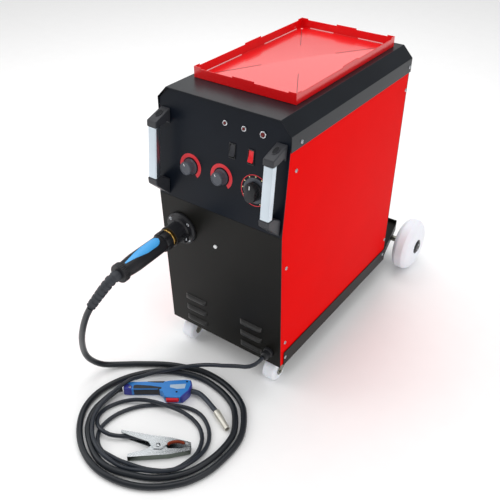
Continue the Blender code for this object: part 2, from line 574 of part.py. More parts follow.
# ---- inside: power side on the right ----------------------------------------------------------------
def transformer():
    floor, x = BASE_Z + 0.0023, 0.0570
    low, high = (x - 0.0550, 0.2600, floor), (x + 0.0550, 0.4000, floor + 0.1500)
    window_low, window_high = floor + 0.0350, floor + 0.1150
    z0, z1 = window_low + 0.0010, window_high - 0.0010
    coils = [block((x - 0.0780, 0.2865, z0), (x + 0.0780, 0.3135, z1)),
             block((x - 0.0780, 0.3465, z0), (x + 0.0780, 0.3735, z1)),
             block((x + 0.0500, 0.2865, z0), (x + 0.0780, 0.3735, z1)),
             block((x - 0.0780, 0.2865, z0), (x - 0.0500, 0.3735, z1))]
    node("transformer", [block(low, high)] + coils, CORE_STEEL)


def cooling_fan():
    place = along((0, -1, 0), 0.0600, 0.5015, 0.3900)
    ring = turned([(0.0545, GAP), (0.0600, GAP), (0.0600, 0.0300), (0.0545, 0.0300)], place, 28)
    arms = [block((-0.0570, -0.0030, 0.0260), (0.0570, 0.0030, 0.0300), place),
            block((-0.0030, -0.0570, 0.0260), (0.0030, 0.0570, 0.0300), place),
            rod(0.0180, 0.0250, 0.0420, place, 16)]
    node("fan_frame", [ring] + arms, DARK_PLASTIC)
    hub = rod(0.0160, 0.0060, 0.0240, place, 16)
    blades = []
    for k in range(7):
        turn = place @ Matrix.Rotation(2 * pi * k / 7, 4, 'Z') @ at(0, 0, 0.0150) @ Matrix.Rotation(0.6, 4, 'Y')
        blades.append(block((-0.0110, 0.0140, -0.0008), (0.0110, 0.0500, 0.0008), turn))
    node("fan_rotor", [hub] + blades, DARK_PLASTIC, pivot=(0.0600, 0.4900, 0.3900))


# ---- leads --------------------------------------------------------------------------------------------
def smooth_path(points, spacing):
    """Evenly spaced points on a Catmull-Rom curve through hand-placed ones."""
    route = [Vector(p) for p in points]
    route = [2 * route[0] - route[1]] + route + [2 * route[-1] - route[-2]]
    fine = []
    for k in range(1, len(route) - 2):
        p0, p1, p2, p3 = route[k - 1:k + 3]
        for i in range(12):
            t = i / 12
            fine.append(0.5 * (2 * p1 + (p2 - p0) * t + (2 * p0 - 5 * p1 + 4 * p2 - p3) * t * t
                               + (3 * p1 - p0 - 3 * p2 + p3) * t ** 3))
    fine.append(route[-2])
    total = sum((b - a).length for a, b in zip(fine, fine[1:]))
    step = total / max(2, round(total / spacing))
    result, walked, target = [fine[0]], 0.0, step
    for a, b in zip(fine, fine[1:]):
        length = (b - a).length
        while walked + length >= target - 1e-9 and target < total - step / 2:
            result.append(a.lerp(b, (target - walked) / length))
            target += step
        walked += length
    return result + [fine[-1]]


def tube(name, points, spacing, diameter, finish, sides=2):
    curve = bpy.data.curves.new(name, 'CURVE')
    curve.dimensions = '3D'
    curve.bevel_depth = diameter / 2
    curve.bevel_resolution = sides
    curve.use_fill_caps = True
    path = smooth_path(points, spacing)
    spline = curve.splines.new('POLY')
    spline.points.add(len(path) - 1)
    for slot, place in zip(spline.points, path):
        slot.co = (place.x, place.y, place.z, 1)
    obj = bpy.data.objects.new(name, curve)
    curve.materials.append(material(name, finish))
    obj.location.y = FRONT
    bpy.context.collection.objects.link(obj)


# Routes in metres: x, y from the hood's front edge, z above the floor.
RELIEF_ROUTE = [
    (-0.1022, -0.2196, 0.3466), (-0.1056, -0.2315, 0.3415), (-0.1130, -0.2440, 0.3270),
    (-0.1240, -0.2540, 0.3070), (-0.1350, -0.2670, 0.2845)]
TORCH_ROUTE = [
    (-0.1360, -0.2680, 0.2815), (-0.1490, -0.2720, 0.2560), (-0.1690, -0.2710, 0.2130),
    (-0.1940, -0.2620, 0.1600), (-0.2200, -0.2450, 0.1000), (-0.2260, -0.2340, 0.0640),
    (-0.2250, -0.2180, 0.0360), (-0.2160, -0.2010, 0.0185), (-0.2020, -0.1820, 0.0105),
    (-0.1800, -0.1610, 0.0076), (-0.1550, -0.1420, 0.0074), (-0.1050, -0.1080, 0.0074),
    (-0.0610, -0.0870, 0.0074), (-0.0170, -0.0730, 0.0074), (0.0340, -0.0720, 0.0074),
    (0.0790, -0.0820, 0.0074), (0.1170, -0.1000, 0.0074), (0.1420, -0.1250, 0.0074),
    (0.1650, -0.1620, 0.0074), (0.1740, -0.1940, 0.0074), (0.1750, -0.2300, 0.0074),
    (0.1690, -0.2790, 0.0074), (0.1520, -0.3210, 0.0074), (0.1270, -0.3530, 0.0074),
    (0.0970, -0.3790, 0.0074), (0.0610, -0.3980, 0.0074), (0.0210, -0.4090, 0.0074),
    (-0.0210, -0.4112, 0.0074), (-0.0645, -0.4008, 0.0074), (-0.1020, -0.3810, 0.0074),
    (-0.1350, -0.3520, 0.0074), (-0.1590, -0.3170, 0.0074), (-0.1690, -0.2810, 0.0074),
    (-0.1680, -0.2480, 0.0074), (-0.1590, -0.2150, 0.0074), (-0.1440, -0.1840, 0.0074),
    (-0.1230, -0.1550, 0.0074), (-0.1000, -0.1320, 0.0074), (-0.0700, -0.1130, 0.0074),
    (-0.0350, -0.0990, 0.0074), (-0.0010, -0.0920, 0.0074), (0.0290, -0.0930, 0.0074),
    (0.0640, -0.0990, 0.0074), (0.0970, -0.1120, 0.0074), (0.1210, -0.1310, 0.0074),
    (0.1480, -0.1680, 0.0074), (0.1560, -0.1950, 0.0074), (0.1570, -0.2320, 0.0074),
    (0.1510, -0.2690, 0.0074), (0.1380, -0.3050, 0.0074), (0.1140, -0.3380, 0.0074),
    (0.0830, -0.3630, 0.0074), (0.0450, -0.3810, 0.0074), (0.0080, -0.3932, 0.0074),
    (-0.0270, -0.3943, 0.0074), (-0.0592, -0.3843, 0.0074), (-0.0912, -0.3663, 0.0074),
    (-0.1150, -0.3470, 0.0074), (-0.1310, -0.3230, 0.0074), (-0.1400, -0.2990, 0.0074),
    (-0.1410, -0.2770, 0.0080), (-0.1405, -0.2600, 0.0088), (-0.1385, -0.2450, 0.0100),
    (-0.1365, -0.2328, 0.0110), (-0.1301, -0.2260, 0.0115)]
EARTH_ROUTE = [
    (0.1275, -0.0350, 0.1043), (0.1262, -0.0490, 0.1025), (0.1200, -0.0610, 0.0985),
    (0.1075, -0.0685, 0.0930), (0.0880, -0.0705, 0.0850), (0.0640, -0.0710, 0.0725),
    (0.0400, -0.0720, 0.0598), (0.0240, -0.0720, 0.0520), (-0.0060, -0.0770, 0.0390),
    (-0.0320, -0.0860, 0.0290), (-0.0540, -0.1000, 0.0225), (-0.0730, -0.1190, 0.0200),
    (-0.0910, -0.1400, 0.0195), (-0.1050, -0.1600, 0.0195), (-0.1155, -0.1820, 0.0215),
    (-0.1205, -0.2015, 0.0286), (-0.1250, -0.2160, 0.0280), (-0.1278, -0.2390, 0.0272),
    (-0.1280, -0.2680, 0.0262), (-0.1260, -0.2980, 0.0225), (-0.1180, -0.3240, 0.0185),
    (-0.1025, -0.3445, 0.0178), (-0.0888, -0.3578, 0.0162), (-0.0680, -0.3708, 0.0176),
    (-0.0470, -0.3790, 0.0165), (-0.0260, -0.3830, 0.0150), (-0.0040, -0.3810, 0.0106),
    (0.0160, -0.3770, 0.0052), (0.0390, -0.3695, 0.0077), (0.0598, -0.3622, 0.0137),
    (0.0773, -0.3553, 0.0168), (0.0930, -0.3448, 0.0175), (0.1080, -0.3310, 0.0170),
    (0.1200, -0.3150, 0.0162), (0.1270, -0.2950, 0.0145), (0.1300, -0.2730, 0.0110),
    (0.1290, -0.2500, 0.0075), (0.1230, -0.2280, 0.0050), (0.1090, -0.2060, 0.0050),
    (0.0910, -0.1900, 0.0050), (0.0670, -0.1780, 0.0050), (0.0440, -0.1750, 0.0050),
    (0.0190, -0.1800, 0.0050), (-0.0090, -0.1930, 0.0050), (-0.0350, -0.2110, 0.0050),
    (-0.0590, -0.2310, 0.0050), (-0.0770, -0.2540, 0.0050), (-0.0890, -0.2790, 0.0050),
    (-0.0940, -0.3040, 0.0050), (-0.0930, -0.3270, 0.0050), (-0.0840, -0.3470, 0.0050),
    (-0.0680, -0.3630, 0.0050), (-0.0470, -0.3720, 0.0050), (-0.0260, -0.3710, 0.0050),
    (-0.0040, -0.3690, 0.0050), (0.0190, -0.3640, 0.0050), (0.0410, -0.3580, 0.0050),
    (0.0630, -0.3500, 0.0050), (0.0820, -0.3400, 0.0050), (0.1010, -0.3270, 0.0050),
    (0.1120, -0.3080, 0.0050), (0.1180, -0.2850, 0.0050), (0.1200, -0.2630, 0.0050),
    (0.1130, -0.2400, 0.0050), (0.1010, -0.2210, 0.0050), (0.0800, -0.2050, 0.0055),
    (0.0550, -0.1980, 0.0080), (0.0310, -0.1980, 0.0120), (0.0090, -0.2030, 0.0155),
    (-0.0150, -0.2080, 0.0160), (-0.0420, -0.2150, 0.0152), (-0.0700, -0.2250, 0.0125),
    (-0.0940, -0.2390, 0.0080), (-0.1110, -0.2570, 0.0050), (-0.1210, -0.2790, 0.0050),
    (-0.1230, -0.2980, 0.0055), (-0.1180, -0.3140, 0.0075), (-0.1060, -0.3280, 0.0110),
    (-0.0900, -0.3370, 0.0152), (-0.0720, -0.3400, 0.0160), (-0.0560, -0.3370, 0.0145),
    (-0.0410, -0.3270, 0.0110), (-0.0200, -0.3130, 0.0100), (-0.0005, -0.3042, 0.0100),
    (0.0163, -0.2970, 0.0100), (0.0256, -0.2930, 0.0100)]


def torch_lead():
    tube("torch_strain_relief", RELIEF_ROUTE, 0.014, 0.0195, RUBBER)
    tube("torch_cable", TORCH_ROUTE, 0.034, TORCH_D, RUBBER)


HANDLE_AT = (-0.1267, -0.2234, 0.0115)
HANDLE_TURN = 37.0 * pi / 180


def torch():
    """The torch lies on its side: local X runs along the grip, local Y away from the trigger, local Z up."""
    place = at(*HANDLE_AT) @ Matrix.Rotation(HANDLE_TURN, 4, 'Z')
    low, high = -0.0105, 0.0105
    grip = [(0.0, -0.0095), (0.0180, -0.0115), (0.0800, -0.0125), (0.0900, -0.0200), (0.0955, -0.0330),
            (0.1000, -0.0360), (0.1300, -0.0375), (0.1360, -0.0365), (0.1500, -0.0200), (0.1560, -0.0020),
            (0.1530, 0.0130), (0.1430, 0.0155), (0.1040, 0.0135), (0.0950, 0.0115), (0.0180, 0.0115), (0.0, 0.0095)]
    pocket = block((0.0972, -0.0450, -0.0060), (0.1280, -0.0200, 0.0060), place)
    node("torch_handle", [prism(grip, 'Z', low, high, place)], BLUE_PLASTIC, [pocket])
    lever = [(0.0985, -0.0370), (0.1010, -0.0395), (0.1250, -0.0395), (0.1275, -0.0365), (0.1275, -0.0240),
             (0.0985, -0.0240)]
    node("torch_trigger", [prism(lever, 'Z', -0.0055, 0.0055, place)], ("#D42436", 0.4, 0.0),
         pivot=place @ Vector(TRIGGER_PIVOT))


TRIGGER_PIVOT = (0.1245, -0.0280, 0)


def torch_neck():
    bend = [(0.0044, -0.1402, 0.0125), (0.0150, -0.1365, 0.0127), (0.0300, -0.1358, 0.0127),
            (0.0543, -0.1421, 0.0123), (0.0725, -0.1485, 0.0120), (0.0865, -0.1535, 0.0118)]
    tube("torch_neck", bend, 0.009, 0.0120, ZINC)
    nozzle = along(Vector((0.0519, -0.0247, -0.0022)), 0.0872, -0.1538, 0.0118)
    node("gas_nozzle", [turned([(0, GAP), (0.0080, GAP), (0.0080, 0.0160), (0.0062, 0.0530), (0, 0.0530)],
                               nozzle, 18)], ("#D8D2C2", 0.3, 1.0))


def earth_lead():
    tube("earth_cable", EARTH_ROUTE, 0.026, EARTH_D, RUBBER)


CLAMP_PIVOT = (0.0475, -0.3000)
CLAMP_TURN = 34.0 * pi / 180


def earth_clamp():
    """Two folded arms that lie on their sides and cross at an upright rivet."""
    place = at(CLAMP_PIVOT[0], CLAMP_PIVOT[1], 0) @ Matrix.Rotation(CLAMP_TURN, 4, 'Z')
    jaw = [(-0.0180, 0.0255), (0.0240, 0.0210), (0.0560, 0.0127), (0.0685, 0.0090), (0.0685, 0.0008),
           (0.0620, 0.0006), (0.0500, 0.0050), (0.0220, 0.0060), (0.0080, -0.0090), (-0.0080, -0.0090),
           (-0.0220, 0.0090)]
    inside = [(-0.0180, 0.0240), (0.0240, 0.0195), (0.0556, 0.0112), (0.0700, 0.0070), (0.0700, -0.0200)]
    fixed = [(-0.0840, 0.0315), (-0.0840, 0.0375)] + jaw
    hollow = [(-0.0900, -0.0200), (-0.0900, 0.0371)] + inside
    moving = [(x, -y) for x, y in [(-0.0600, 0.0220), (-0.0600, 0.0303)] + jaw]
    moving_hollow = [(x, -y) for x, y in [(-0.0640, -0.0200), (-0.0640, 0.0292)] + inside]
    bolt = rod(0.0030, 0.0008, 0.0192, place, 12)
    node("earth_clamp_fixed_arm", [prism(fixed, 'Z', 0.0010, 0.0190, place)], ZINC,
         [prism(hollow, 'Z', 0.0024, 0.0176, place)], [bolt])
    node("earth_clamp_moving_arm", [prism(moving, 'Z', 0.0030, 0.0170, place)], ZINC,
         [prism(moving_hollow, 'Z', 0.0044, 0.0156, place), rod(0.0034, -0.01, 0.03, place, 12)],
         pivot=(CLAMP_PIVOT[0], CLAMP_PIVOT[1], 0.0100))


def build():
    for obj in list(bpy.data.objects):
        bpy.data.objects.remove(obj, do_unlink=True)
    base_pan()
    bottle_platform()
    hood()
    control_panel()
    front_panel()
    right_side_panel()
    left_side_door()
    door_latch()
    rear_panel()
    inner_divider()
    top_tray()
    for side, sign in (("left", -1), ("right", 1)):
        handle_brackets(side, sign * HANDLE_X)
        handle_bar(side, sign * HANDLE_X)
    leds()
    rocker("time", ROCKER_SPOTS["time"], DARK_PLASTIC)
    rocker("power", ROCKER_SPOTS["power"], ("#E0202A", 0.35, 0.0))
    for name, (x, z) in KNOB_SPOTS.items():
        round_knob(name, x, z)
    cam_knob()
    torch_socket()
    torch_plug()
    earth_gland()
    rear_fittings()
    rear_wheels()
    castors()
    feed_unit()
    spool()
    transformer()
    cooling_fan()
    torch_lead()
    torch()
    torch_neck()
    earth_lead()
    earth_clamp()


build()
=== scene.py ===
"""Wire-feed welding machine on wheels, with its torch lead and earth lead. Metres, front towards -Y."""
import json
from math import atan2, cos, pi, radians, sin

import bmesh
import bpy
from mathutils import Matrix, Vector

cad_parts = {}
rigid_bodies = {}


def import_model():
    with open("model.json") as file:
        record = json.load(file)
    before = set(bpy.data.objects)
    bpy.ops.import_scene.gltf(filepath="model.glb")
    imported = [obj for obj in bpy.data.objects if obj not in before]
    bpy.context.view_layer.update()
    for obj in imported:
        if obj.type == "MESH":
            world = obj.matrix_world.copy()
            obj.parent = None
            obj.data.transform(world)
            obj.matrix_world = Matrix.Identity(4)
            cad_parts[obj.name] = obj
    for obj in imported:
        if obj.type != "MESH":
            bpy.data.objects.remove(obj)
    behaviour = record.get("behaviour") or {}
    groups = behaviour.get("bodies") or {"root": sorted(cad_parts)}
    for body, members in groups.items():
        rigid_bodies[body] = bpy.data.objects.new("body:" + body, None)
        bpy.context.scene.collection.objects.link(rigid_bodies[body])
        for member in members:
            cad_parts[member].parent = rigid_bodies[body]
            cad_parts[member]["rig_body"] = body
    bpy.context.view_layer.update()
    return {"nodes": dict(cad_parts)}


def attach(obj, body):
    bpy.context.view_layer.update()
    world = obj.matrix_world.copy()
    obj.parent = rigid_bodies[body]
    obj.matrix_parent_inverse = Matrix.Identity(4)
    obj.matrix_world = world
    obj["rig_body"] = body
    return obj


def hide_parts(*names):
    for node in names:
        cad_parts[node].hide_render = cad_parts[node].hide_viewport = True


for leftover in list(bpy.data.objects):
    bpy.data.objects.remove(leftover, do_unlink=True)
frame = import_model()


# ---- studio ------------------------------------------------------------------------------------
# A plain pale floor and soft box lights: one broad panel over the machine and two weaker ones at the
# sides, with the camera in front, to the right and well above.
def linear(hex_colour):
    values = [int(hex_colour[i:i + 2], 16) / 255 for i in (1, 3, 5)]
    return [v / 12.92 if v <= 0.04045 else ((v + 0.055) / 1.055) ** 2.4 for v in values] + [1.0]


def add(tree, kind, inputs=None, **settings):
    """A node with its settings, and its inputs given as values or as other nodes' outputs."""
    new = tree.nodes.new(kind)
    for key, value in settings.items():
        setattr(new, key, value)
    for key, value in (inputs or {}).items():
        if isinstance(value, bpy.types.NodeSocket):
            tree.links.new(value, new.inputs[key])
        else:
            new.inputs[key].default_value = value
    return new


def surface(name, colour, second, roughness, metallic=0.0, grain=1.0, relief=0.02, patch=60.0,
            stretch=(1, 1, 1), spread=0.05, **sockets):
    """Principled finish: broad drift between two colours, fine grain of a size in mm, relief in mm."""
    mat = bpy.data.materials.new(name)
    mat.use_nodes = True
    tree = mat.node_tree
    shader = tree.nodes["Principled BSDF"]
    place = add(tree, "ShaderNodeTexCoord").outputs["Object"]
    drawn = add(tree, "ShaderNodeMapping", {"Vector": place, "Scale": stretch}).outputs["Vector"]
    fine = add(tree, "ShaderNodeTexNoise", {"Vector": drawn, "Scale": 1000 / grain, "Detail": 3.0})
    broad = add(tree, "ShaderNodeTexNoise", {"Vector": place, "Scale": 1000 / patch, "Detail": 2.0})
    mixed = add(tree, "ShaderNodeMix", {0: broad.outputs["Fac"], 6: linear(colour), 7: linear(second)},
                data_type='RGBA')
    gloss = add(tree, "ShaderNodeMapRange", {"Value": fine.outputs["Fac"], "To Min": roughness - spread,
                                             "To Max": roughness + spread})
    bump = add(tree, "ShaderNodeBump", {"Height": fine.outputs["Fac"], "Strength": 0.6,
                                        "Distance": relief / 1000})
    tree.links.new(mixed.outputs[2], shader.inputs["Base Color"])
    tree.links.new(gloss.outputs[0], shader.inputs["Roughness"])
    tree.links.new(bump.outputs[0], shader.inputs["Normal"])
    shader.inputs["Metallic"].default_value = metallic
    for key, value in sockets.items():
        shader.inputs[key.replace("_", " ")].default_value = value
    return mat


def link(obj):
    bpy.context.scene.collection.objects.link(obj)
    return obj


def flat(name, size, height, mat):
    mesh = bpy.data.meshes.new(name)
    mesh.from_pydata([(-size, -size, height), (size, -size, height), (size, size, height),
                      (-size, size, height)], [], [(0, 1, 2, 3)])
    mesh.materials.append(mat)
    return link(bpy.data.objects.new(name, mesh))


floor_paint = surface("painted_studio_floor", "#F4F4F4", "#F7F7F7", 0.75, grain=8.0, relief=0.01,
                      spread=0.02)
flat("studio_floor", 14.0, -0.0002, floor_paint)
camera = link(bpy.data.objects.new("camera", bpy.data.cameras.new("camera")))
camera.data.lens, camera.data.sensor_width = 47.68, 36.0
camera.location = (0.7244, -1.2212, 1.1533)
camera.rotation_euler = (radians(90 - 35.45), 0, radians(35.79))
bpy.context.scene.camera = camera
world = bpy.data.worlds.new("studio")
world.use_nodes = True
world.node_tree.nodes["Background"].inputs["Color"].default_value = linear("#FFFFFF")
is_glossy = add(world.node_tree, "ShaderNodeLightPath").outputs["Is Glossy Ray"]
strength = add(world.node_tree, "ShaderNodeMapRange", {"Value": is_glossy, "To Min": 0.80, "To Max": 0.28})
world.node_tree.links.new(strength.outputs[0], world.node_tree.nodes["Background"].inputs["Strength"])
bpy.context.scene.world = world
bpy.context.scene.view_settings.view_transform = 'Standard'
for name, energy, size, place in (
        ("overhead", 26.0, 2.2, (-0.3, 0.2, 2.4)), ("left", 13.0, 1.4, (-1.9, -1.3, 1.5)),
        ("right", 6.0, 1.2, (1.9, -0.6, 1.2)), ("behind", 7.0, 1.5, (-1.25, 1.75, 2.0))):
    light = link(bpy.data.objects.new(name, bpy.data.lights.new(name, 'AREA')))
    light.data.energy, light.data.size = energy, size
    light.location = place
    light.rotation_euler = (Vector((0, 0, 0.2)) - Vector(place)).to_track_quat('-Z', 'Y').to_euler()


# ---- base pan and bottle platform -----------------------------------------------------------------
# Folded mild steel, 2 mm, powder coated satin black: an orange-peel skin with soft grey sheen along
# the folds. The platform behind it carries the gas bottle and the rear axle.
FRONT = -0.3111         # y of the hood's front edge
BODY_X, TOP_Z, BASE_Z = 0.1573, 0.6624, 0.0690
black_powder_coat = surface("black_powder_coated_steel", "#100F0D", "#171613", 0.42, grain=1.6, relief=0.03,
                            Specular_IOR_Level=0.18)


def settle(name, bm, mat, body, round_by=0.0, stands_for=(), segments=2, sharp=50):
    """Mesh code's result as a finished piece: edges rounded, smooth shading, riding on its body."""
    bmesh.ops.recalc_face_normals(bm, faces=bm.faces)
    mesh = bpy.data.meshes.new(name)
    bm.to_mesh(mesh)
    bm.free()
    mesh.materials.append(mat)
    mesh.shade_smooth()
    mesh.set_sharp_from_angle(angle=radians(sharp))
    piece = link(bpy.data.objects.new(name, mesh))
    if round_by:
        bevel = piece.modifiers.new("edges", 'BEVEL')
        bevel.width, bevel.segments = round_by, segments
        bevel.limit_method, bevel.angle_limit = 'ANGLE', radians(28)
        bevel.use_clamp_overlap = True
        weighted = piece.modifiers.new("shading", 'WEIGHTED_NORMAL')
        weighted.keep_sharp = True
        bake(piece)
    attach(piece, body)
    if stands_for:
        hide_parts(*stands_for)
    return piece


def bake(piece):
    """The piece's modifiers made part of its mesh."""
    graph = bpy.context.evaluated_depsgraph_get()
    graph.update()
    result = bpy.data.meshes.new_from_object(piece.evaluated_get(graph))
    piece.modifiers.clear()
    piece.data = result


def soften(node, mat, round_by=0.0006, segments=2, sharp=50, flatten=1.0):
    """The CAD piece with its triangles merged into plain faces and its edges rounded."""
    source = frame["nodes"][node]
    bm = bmesh.new()
    bm.from_mesh(source.data)
    bmesh.ops.remove_doubles(bm, verts=bm.verts, dist=2e-6)
    bmesh.ops.dissolve_limit(bm, angle_limit=radians(flatten), verts=bm.verts, edges=bm.edges)
    return settle(node + "_shape", bm, mat, source["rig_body"], round_by, (node,), segments, sharp=sharp)


soften("base_pan", black_powder_coat, 0.0007)
soften("bottle_platform", black_powder_coat, 0.0010)


# ---- hood, side panel, door, rear panel and tray ----------------------------------------------------
# Folded sheet, 1.5 mm, powder coated: dark grey hood, signal red sides and tray. The coat is glossy,
# with a fine orange peel.
grey_coat = surface("grey_powder_coated_steel", "#14171C", "#1B1F25", 0.32, grain=1.8, relief=0.02, patch=90.0,
                    Specular_IOR_Level=0.26)
red_coat = surface("red_powder_coated_steel", "#DC0202", "#E60303", 0.33, grain=1.8, relief=0.02, patch=110.0,
                   Specular_IOR_Level=0.01)
soften("hood", grey_coat, 0.0006, 3)
soften("right_side_panel", red_coat, 0.0005)
soften("left_side_door", red_coat, 0.0005)
soften("rear_panel", black_powder_coat, 0.0004)
tray_coat = surface("glossy_red_powder_coat", "#D4040A", "#E0060C", 0.22, grain=2.2, relief=0.01, patch=120.0,
                    Specular_IOR_Level=0.6, Coat_Weight=0.6, Coat_Roughness=0.2)
soften("top_tray", tray_coat, 0.0005)


def ring_of(profile, sides):
    """Rings of points for a turned profile of (radius, height)."""
    return [[(r * cos(2 * pi * k / sides), r * sin(2 * pi * k / sides), z) for k in range(sides if r else 1)]
            for r, z in profile]


def turned(profile, place, sides=32, wave=None):
    """A closed profile turned about local Z; wave(angle, index) scales a ring's radius."""
    bm = bmesh.new()
    rings = []
    for index, ring in enumerate(ring_of(profile, sides)):
        made = []
        for k, (x, y, z) in enumerate(ring):
            grow = wave(2 * pi * k / sides, index) if wave and len(ring) > 1 else 1.0
            made.append(bm.verts.new((x * grow, y * grow, z)))
        rings.append(made)
    pairs = list(zip(rings, rings[1:]))
    if profile[0][0] > 0:
        pairs.append((rings[-1], rings[0]))
    for one, two in pairs:
        for k in range(sides):
            nxt = (k + 1) % sides
            corners = [one[k % len(one)], one[nxt % len(one)], two[nxt % len(two)], two[k % len(two)]]
            bm.faces.new(list(dict.fromkeys(corners)))
    bm.transform(place)
    return bm


def prism(outline, low, high, place):
    """A flat outline pushed along local Z."""
    bm = bmesh.new()
    rings = [[bm.verts.new((x, y, z)) for x, y in outline] for z in (low, high)]
    bm.faces.new(rings[0])
    bm.faces.new(list(reversed(rings[1])))
    for i in range(len(outline)):
        j = (i + 1) % len(outline)
        bm.faces.new((rings[0][i], rings[0][j], rings[1][j], rings[1][i]))
    bm.transform(place)
    return bm


def along(direction, x, y, z, up=(0, 0, 1)):
    """Local Z along direction, local Y as near to up as it can be; y counts from the hood's front edge."""
    third = Vector(direction).normalized()
    first = Vector(up).cross(third).normalized()
    turn = Matrix((first, third.cross(first), third)).transposed().to_4x4()
    return Matrix.Translation((x, y + FRONT, z)) @ turn


def join(*parts):
    """Several closed meshes as one."""
    whole = bmesh.new()
    for part in parts:
        mesh = bpy.data.meshes.new("part")
        part.to_mesh(mesh)
        part.free()
        whole.from_mesh(mesh)
        bpy.data.meshes.remove(mesh)
    return whole


# The tray's floor is cross-broken: four shallow facets that meet at the middle. Part of each crease is
# a fine strip of painted shade; the narrow slots along the folds and a drain hole inside each corner are painted
# highlights, drawn pale.
TRAY_X, TRAY_NEAR, TRAY_FAR, TRAY_FLOOR = 0.1196, 0.0740, 0.4755, TOP_Z + 0.0018
CROSS_RISE = 0.0045      # height of the tray's middle over its edges
facets = bmesh.new()
middle = facets.verts.new((0, (TRAY_NEAR + TRAY_FAR) / 2 + FRONT, TRAY_FLOOR + CROSS_RISE))
rim_points = [facets.verts.new((x, y + FRONT, TRAY_FLOOR)) for x, y in
              ((-TRAY_X, TRAY_NEAR), (TRAY_X, TRAY_NEAR), (TRAY_X, TRAY_FAR), (-TRAY_X, TRAY_FAR))]
for k in range(4):
    facets.faces.new((rim_points[k], rim_points[(k + 1) % 4], middle))
facets.faces.new(list(reversed(rim_points)))
settle("tray_floor_facets", facets, tray_coat, "cabinet", sharp=0.2)
# Near-black red for the painted shade in the creases, pale pink for the painted highlight on the slots and holes.
shadow_line = surface("open_slot_shadow", "#3A0204", "#480305", 0.6, grain=1.0, relief=0.004)
slot_painted_highlight = surface("slot_edge_painted_highlight", "#E9C9CB", "#F3DADB", 0.45, grain=1.0, relief=0.004)
creases, holes = [], []
for sx in (-1, 1):
    for near in (0, 1):
        corner = Vector((sx * TRAY_X, (TRAY_FAR if near else TRAY_NEAR) + FRONT, 0))
        centre = Vector((0, (TRAY_NEAR + TRAY_FAR) / 2 + FRONT, 0))
        side_way = (centre - corner).normalized().cross(Vector((0, 0, 0.0005)))
        bm = bmesh.new()
        top = []
        for along_it, side in ((0.12, 1), (0.12, -1), (0.62, -1), (0.62, 1)):
            spot = corner.lerp(centre, along_it) + side_way * side
            top.append(bm.verts.new((spot.x, spot.y, TRAY_FLOOR + CROSS_RISE * along_it + 0.0003)))
        under = [bm.verts.new(vert.co - Vector((0, 0, 0.0008))) for vert in top]
        bm.faces.new(top)
        bm.faces.new(list(reversed(under)))
        for k in range(4):
            bm.faces.new((top[k], under[k], under[(k + 1) % 4], top[(k + 1) % 4]))
        creases.append(bm)
        spot = corner.lerp(centre, 0.07)
        hole_z = TRAY_FLOOR + CROSS_RISE * 0.07 + 0.0003
        holes.append(turned([(0, -0.0004), (0.0026, -0.0004), (0.0026, 0.0002), (0, 0.0002)],
                            Matrix.Translation((spot.x, spot.y, hole_z)), 20))
# Crease strips carry painted shade, drain-hole discs a painted highlight.
settle("tray_creases", join(*creases), shadow_line, "cabinet")
settle("tray_drain_holes", join(*holes), slot_painted_highlight, "cabinet")
# The fold slots are pale strips of painted highlight.
slots = []
for sx in (-1, 1):
    for low_y, high_y in ((0.0960, 0.2300), (0.3180, 0.4520)):
        slots.append(prism([(sx * 0.1204 - 0.0007, low_y + FRONT), (sx * 0.1204 + 0.0007, low_y + FRONT),
                            (sx * 0.1204 + 0.0007, high_y + FRONT), (sx * 0.1204 - 0.0007, high_y + FRONT)],
                           TOP_Z + 0.0016, TOP_Z + 0.0030, Matrix()))
for y in (0.0731, 0.4764):
    for low_x, high_x in ((-0.0960, -0.0330), (0.0330, 0.0960)):
        slots.append(prism([(low_x, y - 0.0007 + FRONT), (high_x, y - 0.0007 + FRONT), (high_x, y + 0.0007 + FRONT),
                            (low_x, y + 0.0007 + FRONT)], TOP_Z + 0.0016, TOP_Z + 0.0030, Matrix()))
settle("tray_fold_slots", join(*slots), slot_painted_highlight, "cabinet")


# Pan-head screws, bright zinc on steel, with a cross recess.
bright_zinc = surface("bright_zinc_plated_steel", "#B9BDC2", "#CACDD2", 0.28, 1.0, grain=0.9, relief=0.01,
                      patch=4.0, spread=0.08)
# Near-black steel as painted shade in the screws' cross recesses, the handle wells and the torch head's screw
# holes.
recess_painted_shade = surface("steel_recess_painted_shade", "#15161A", "#1E1F24", 0.5, 0.6, grain=0.6)
cross = [(0.10, 0.10), (0.10, 0.55), (-0.10, 0.55), (-0.10, 0.10), (-0.55, 0.10), (-0.55, -0.10), (-0.10, -0.10),
         (-0.10, -0.55), (0.10, -0.55), (0.10, -0.10), (0.55, -0.10), (0.55, 0.10)]
head_mesh = bpy.data.meshes.new("screw_head")
head = join(turned([(0, -0.1), (1.0, -0.1), (1.0, 0.10), (0.93, 0.28), (0.74, 0.43), (0.42, 0.52), (0, 0.55)],
                   Matrix(), 20), prism(cross, 0.46, 0.552, Matrix()))
bmesh.ops.recalc_face_normals(head, faces=head.faces)
recess = head.faces.layers.bool.new("recess")
for face in head.faces:
    face[recess] = len(face.verts) > 9 and face.calc_center_median().z > 0.5
head.to_mesh(head_mesh)
head.free()
head_mesh.shade_smooth()
head_mesh.set_sharp_from_angle(angle=radians(55))


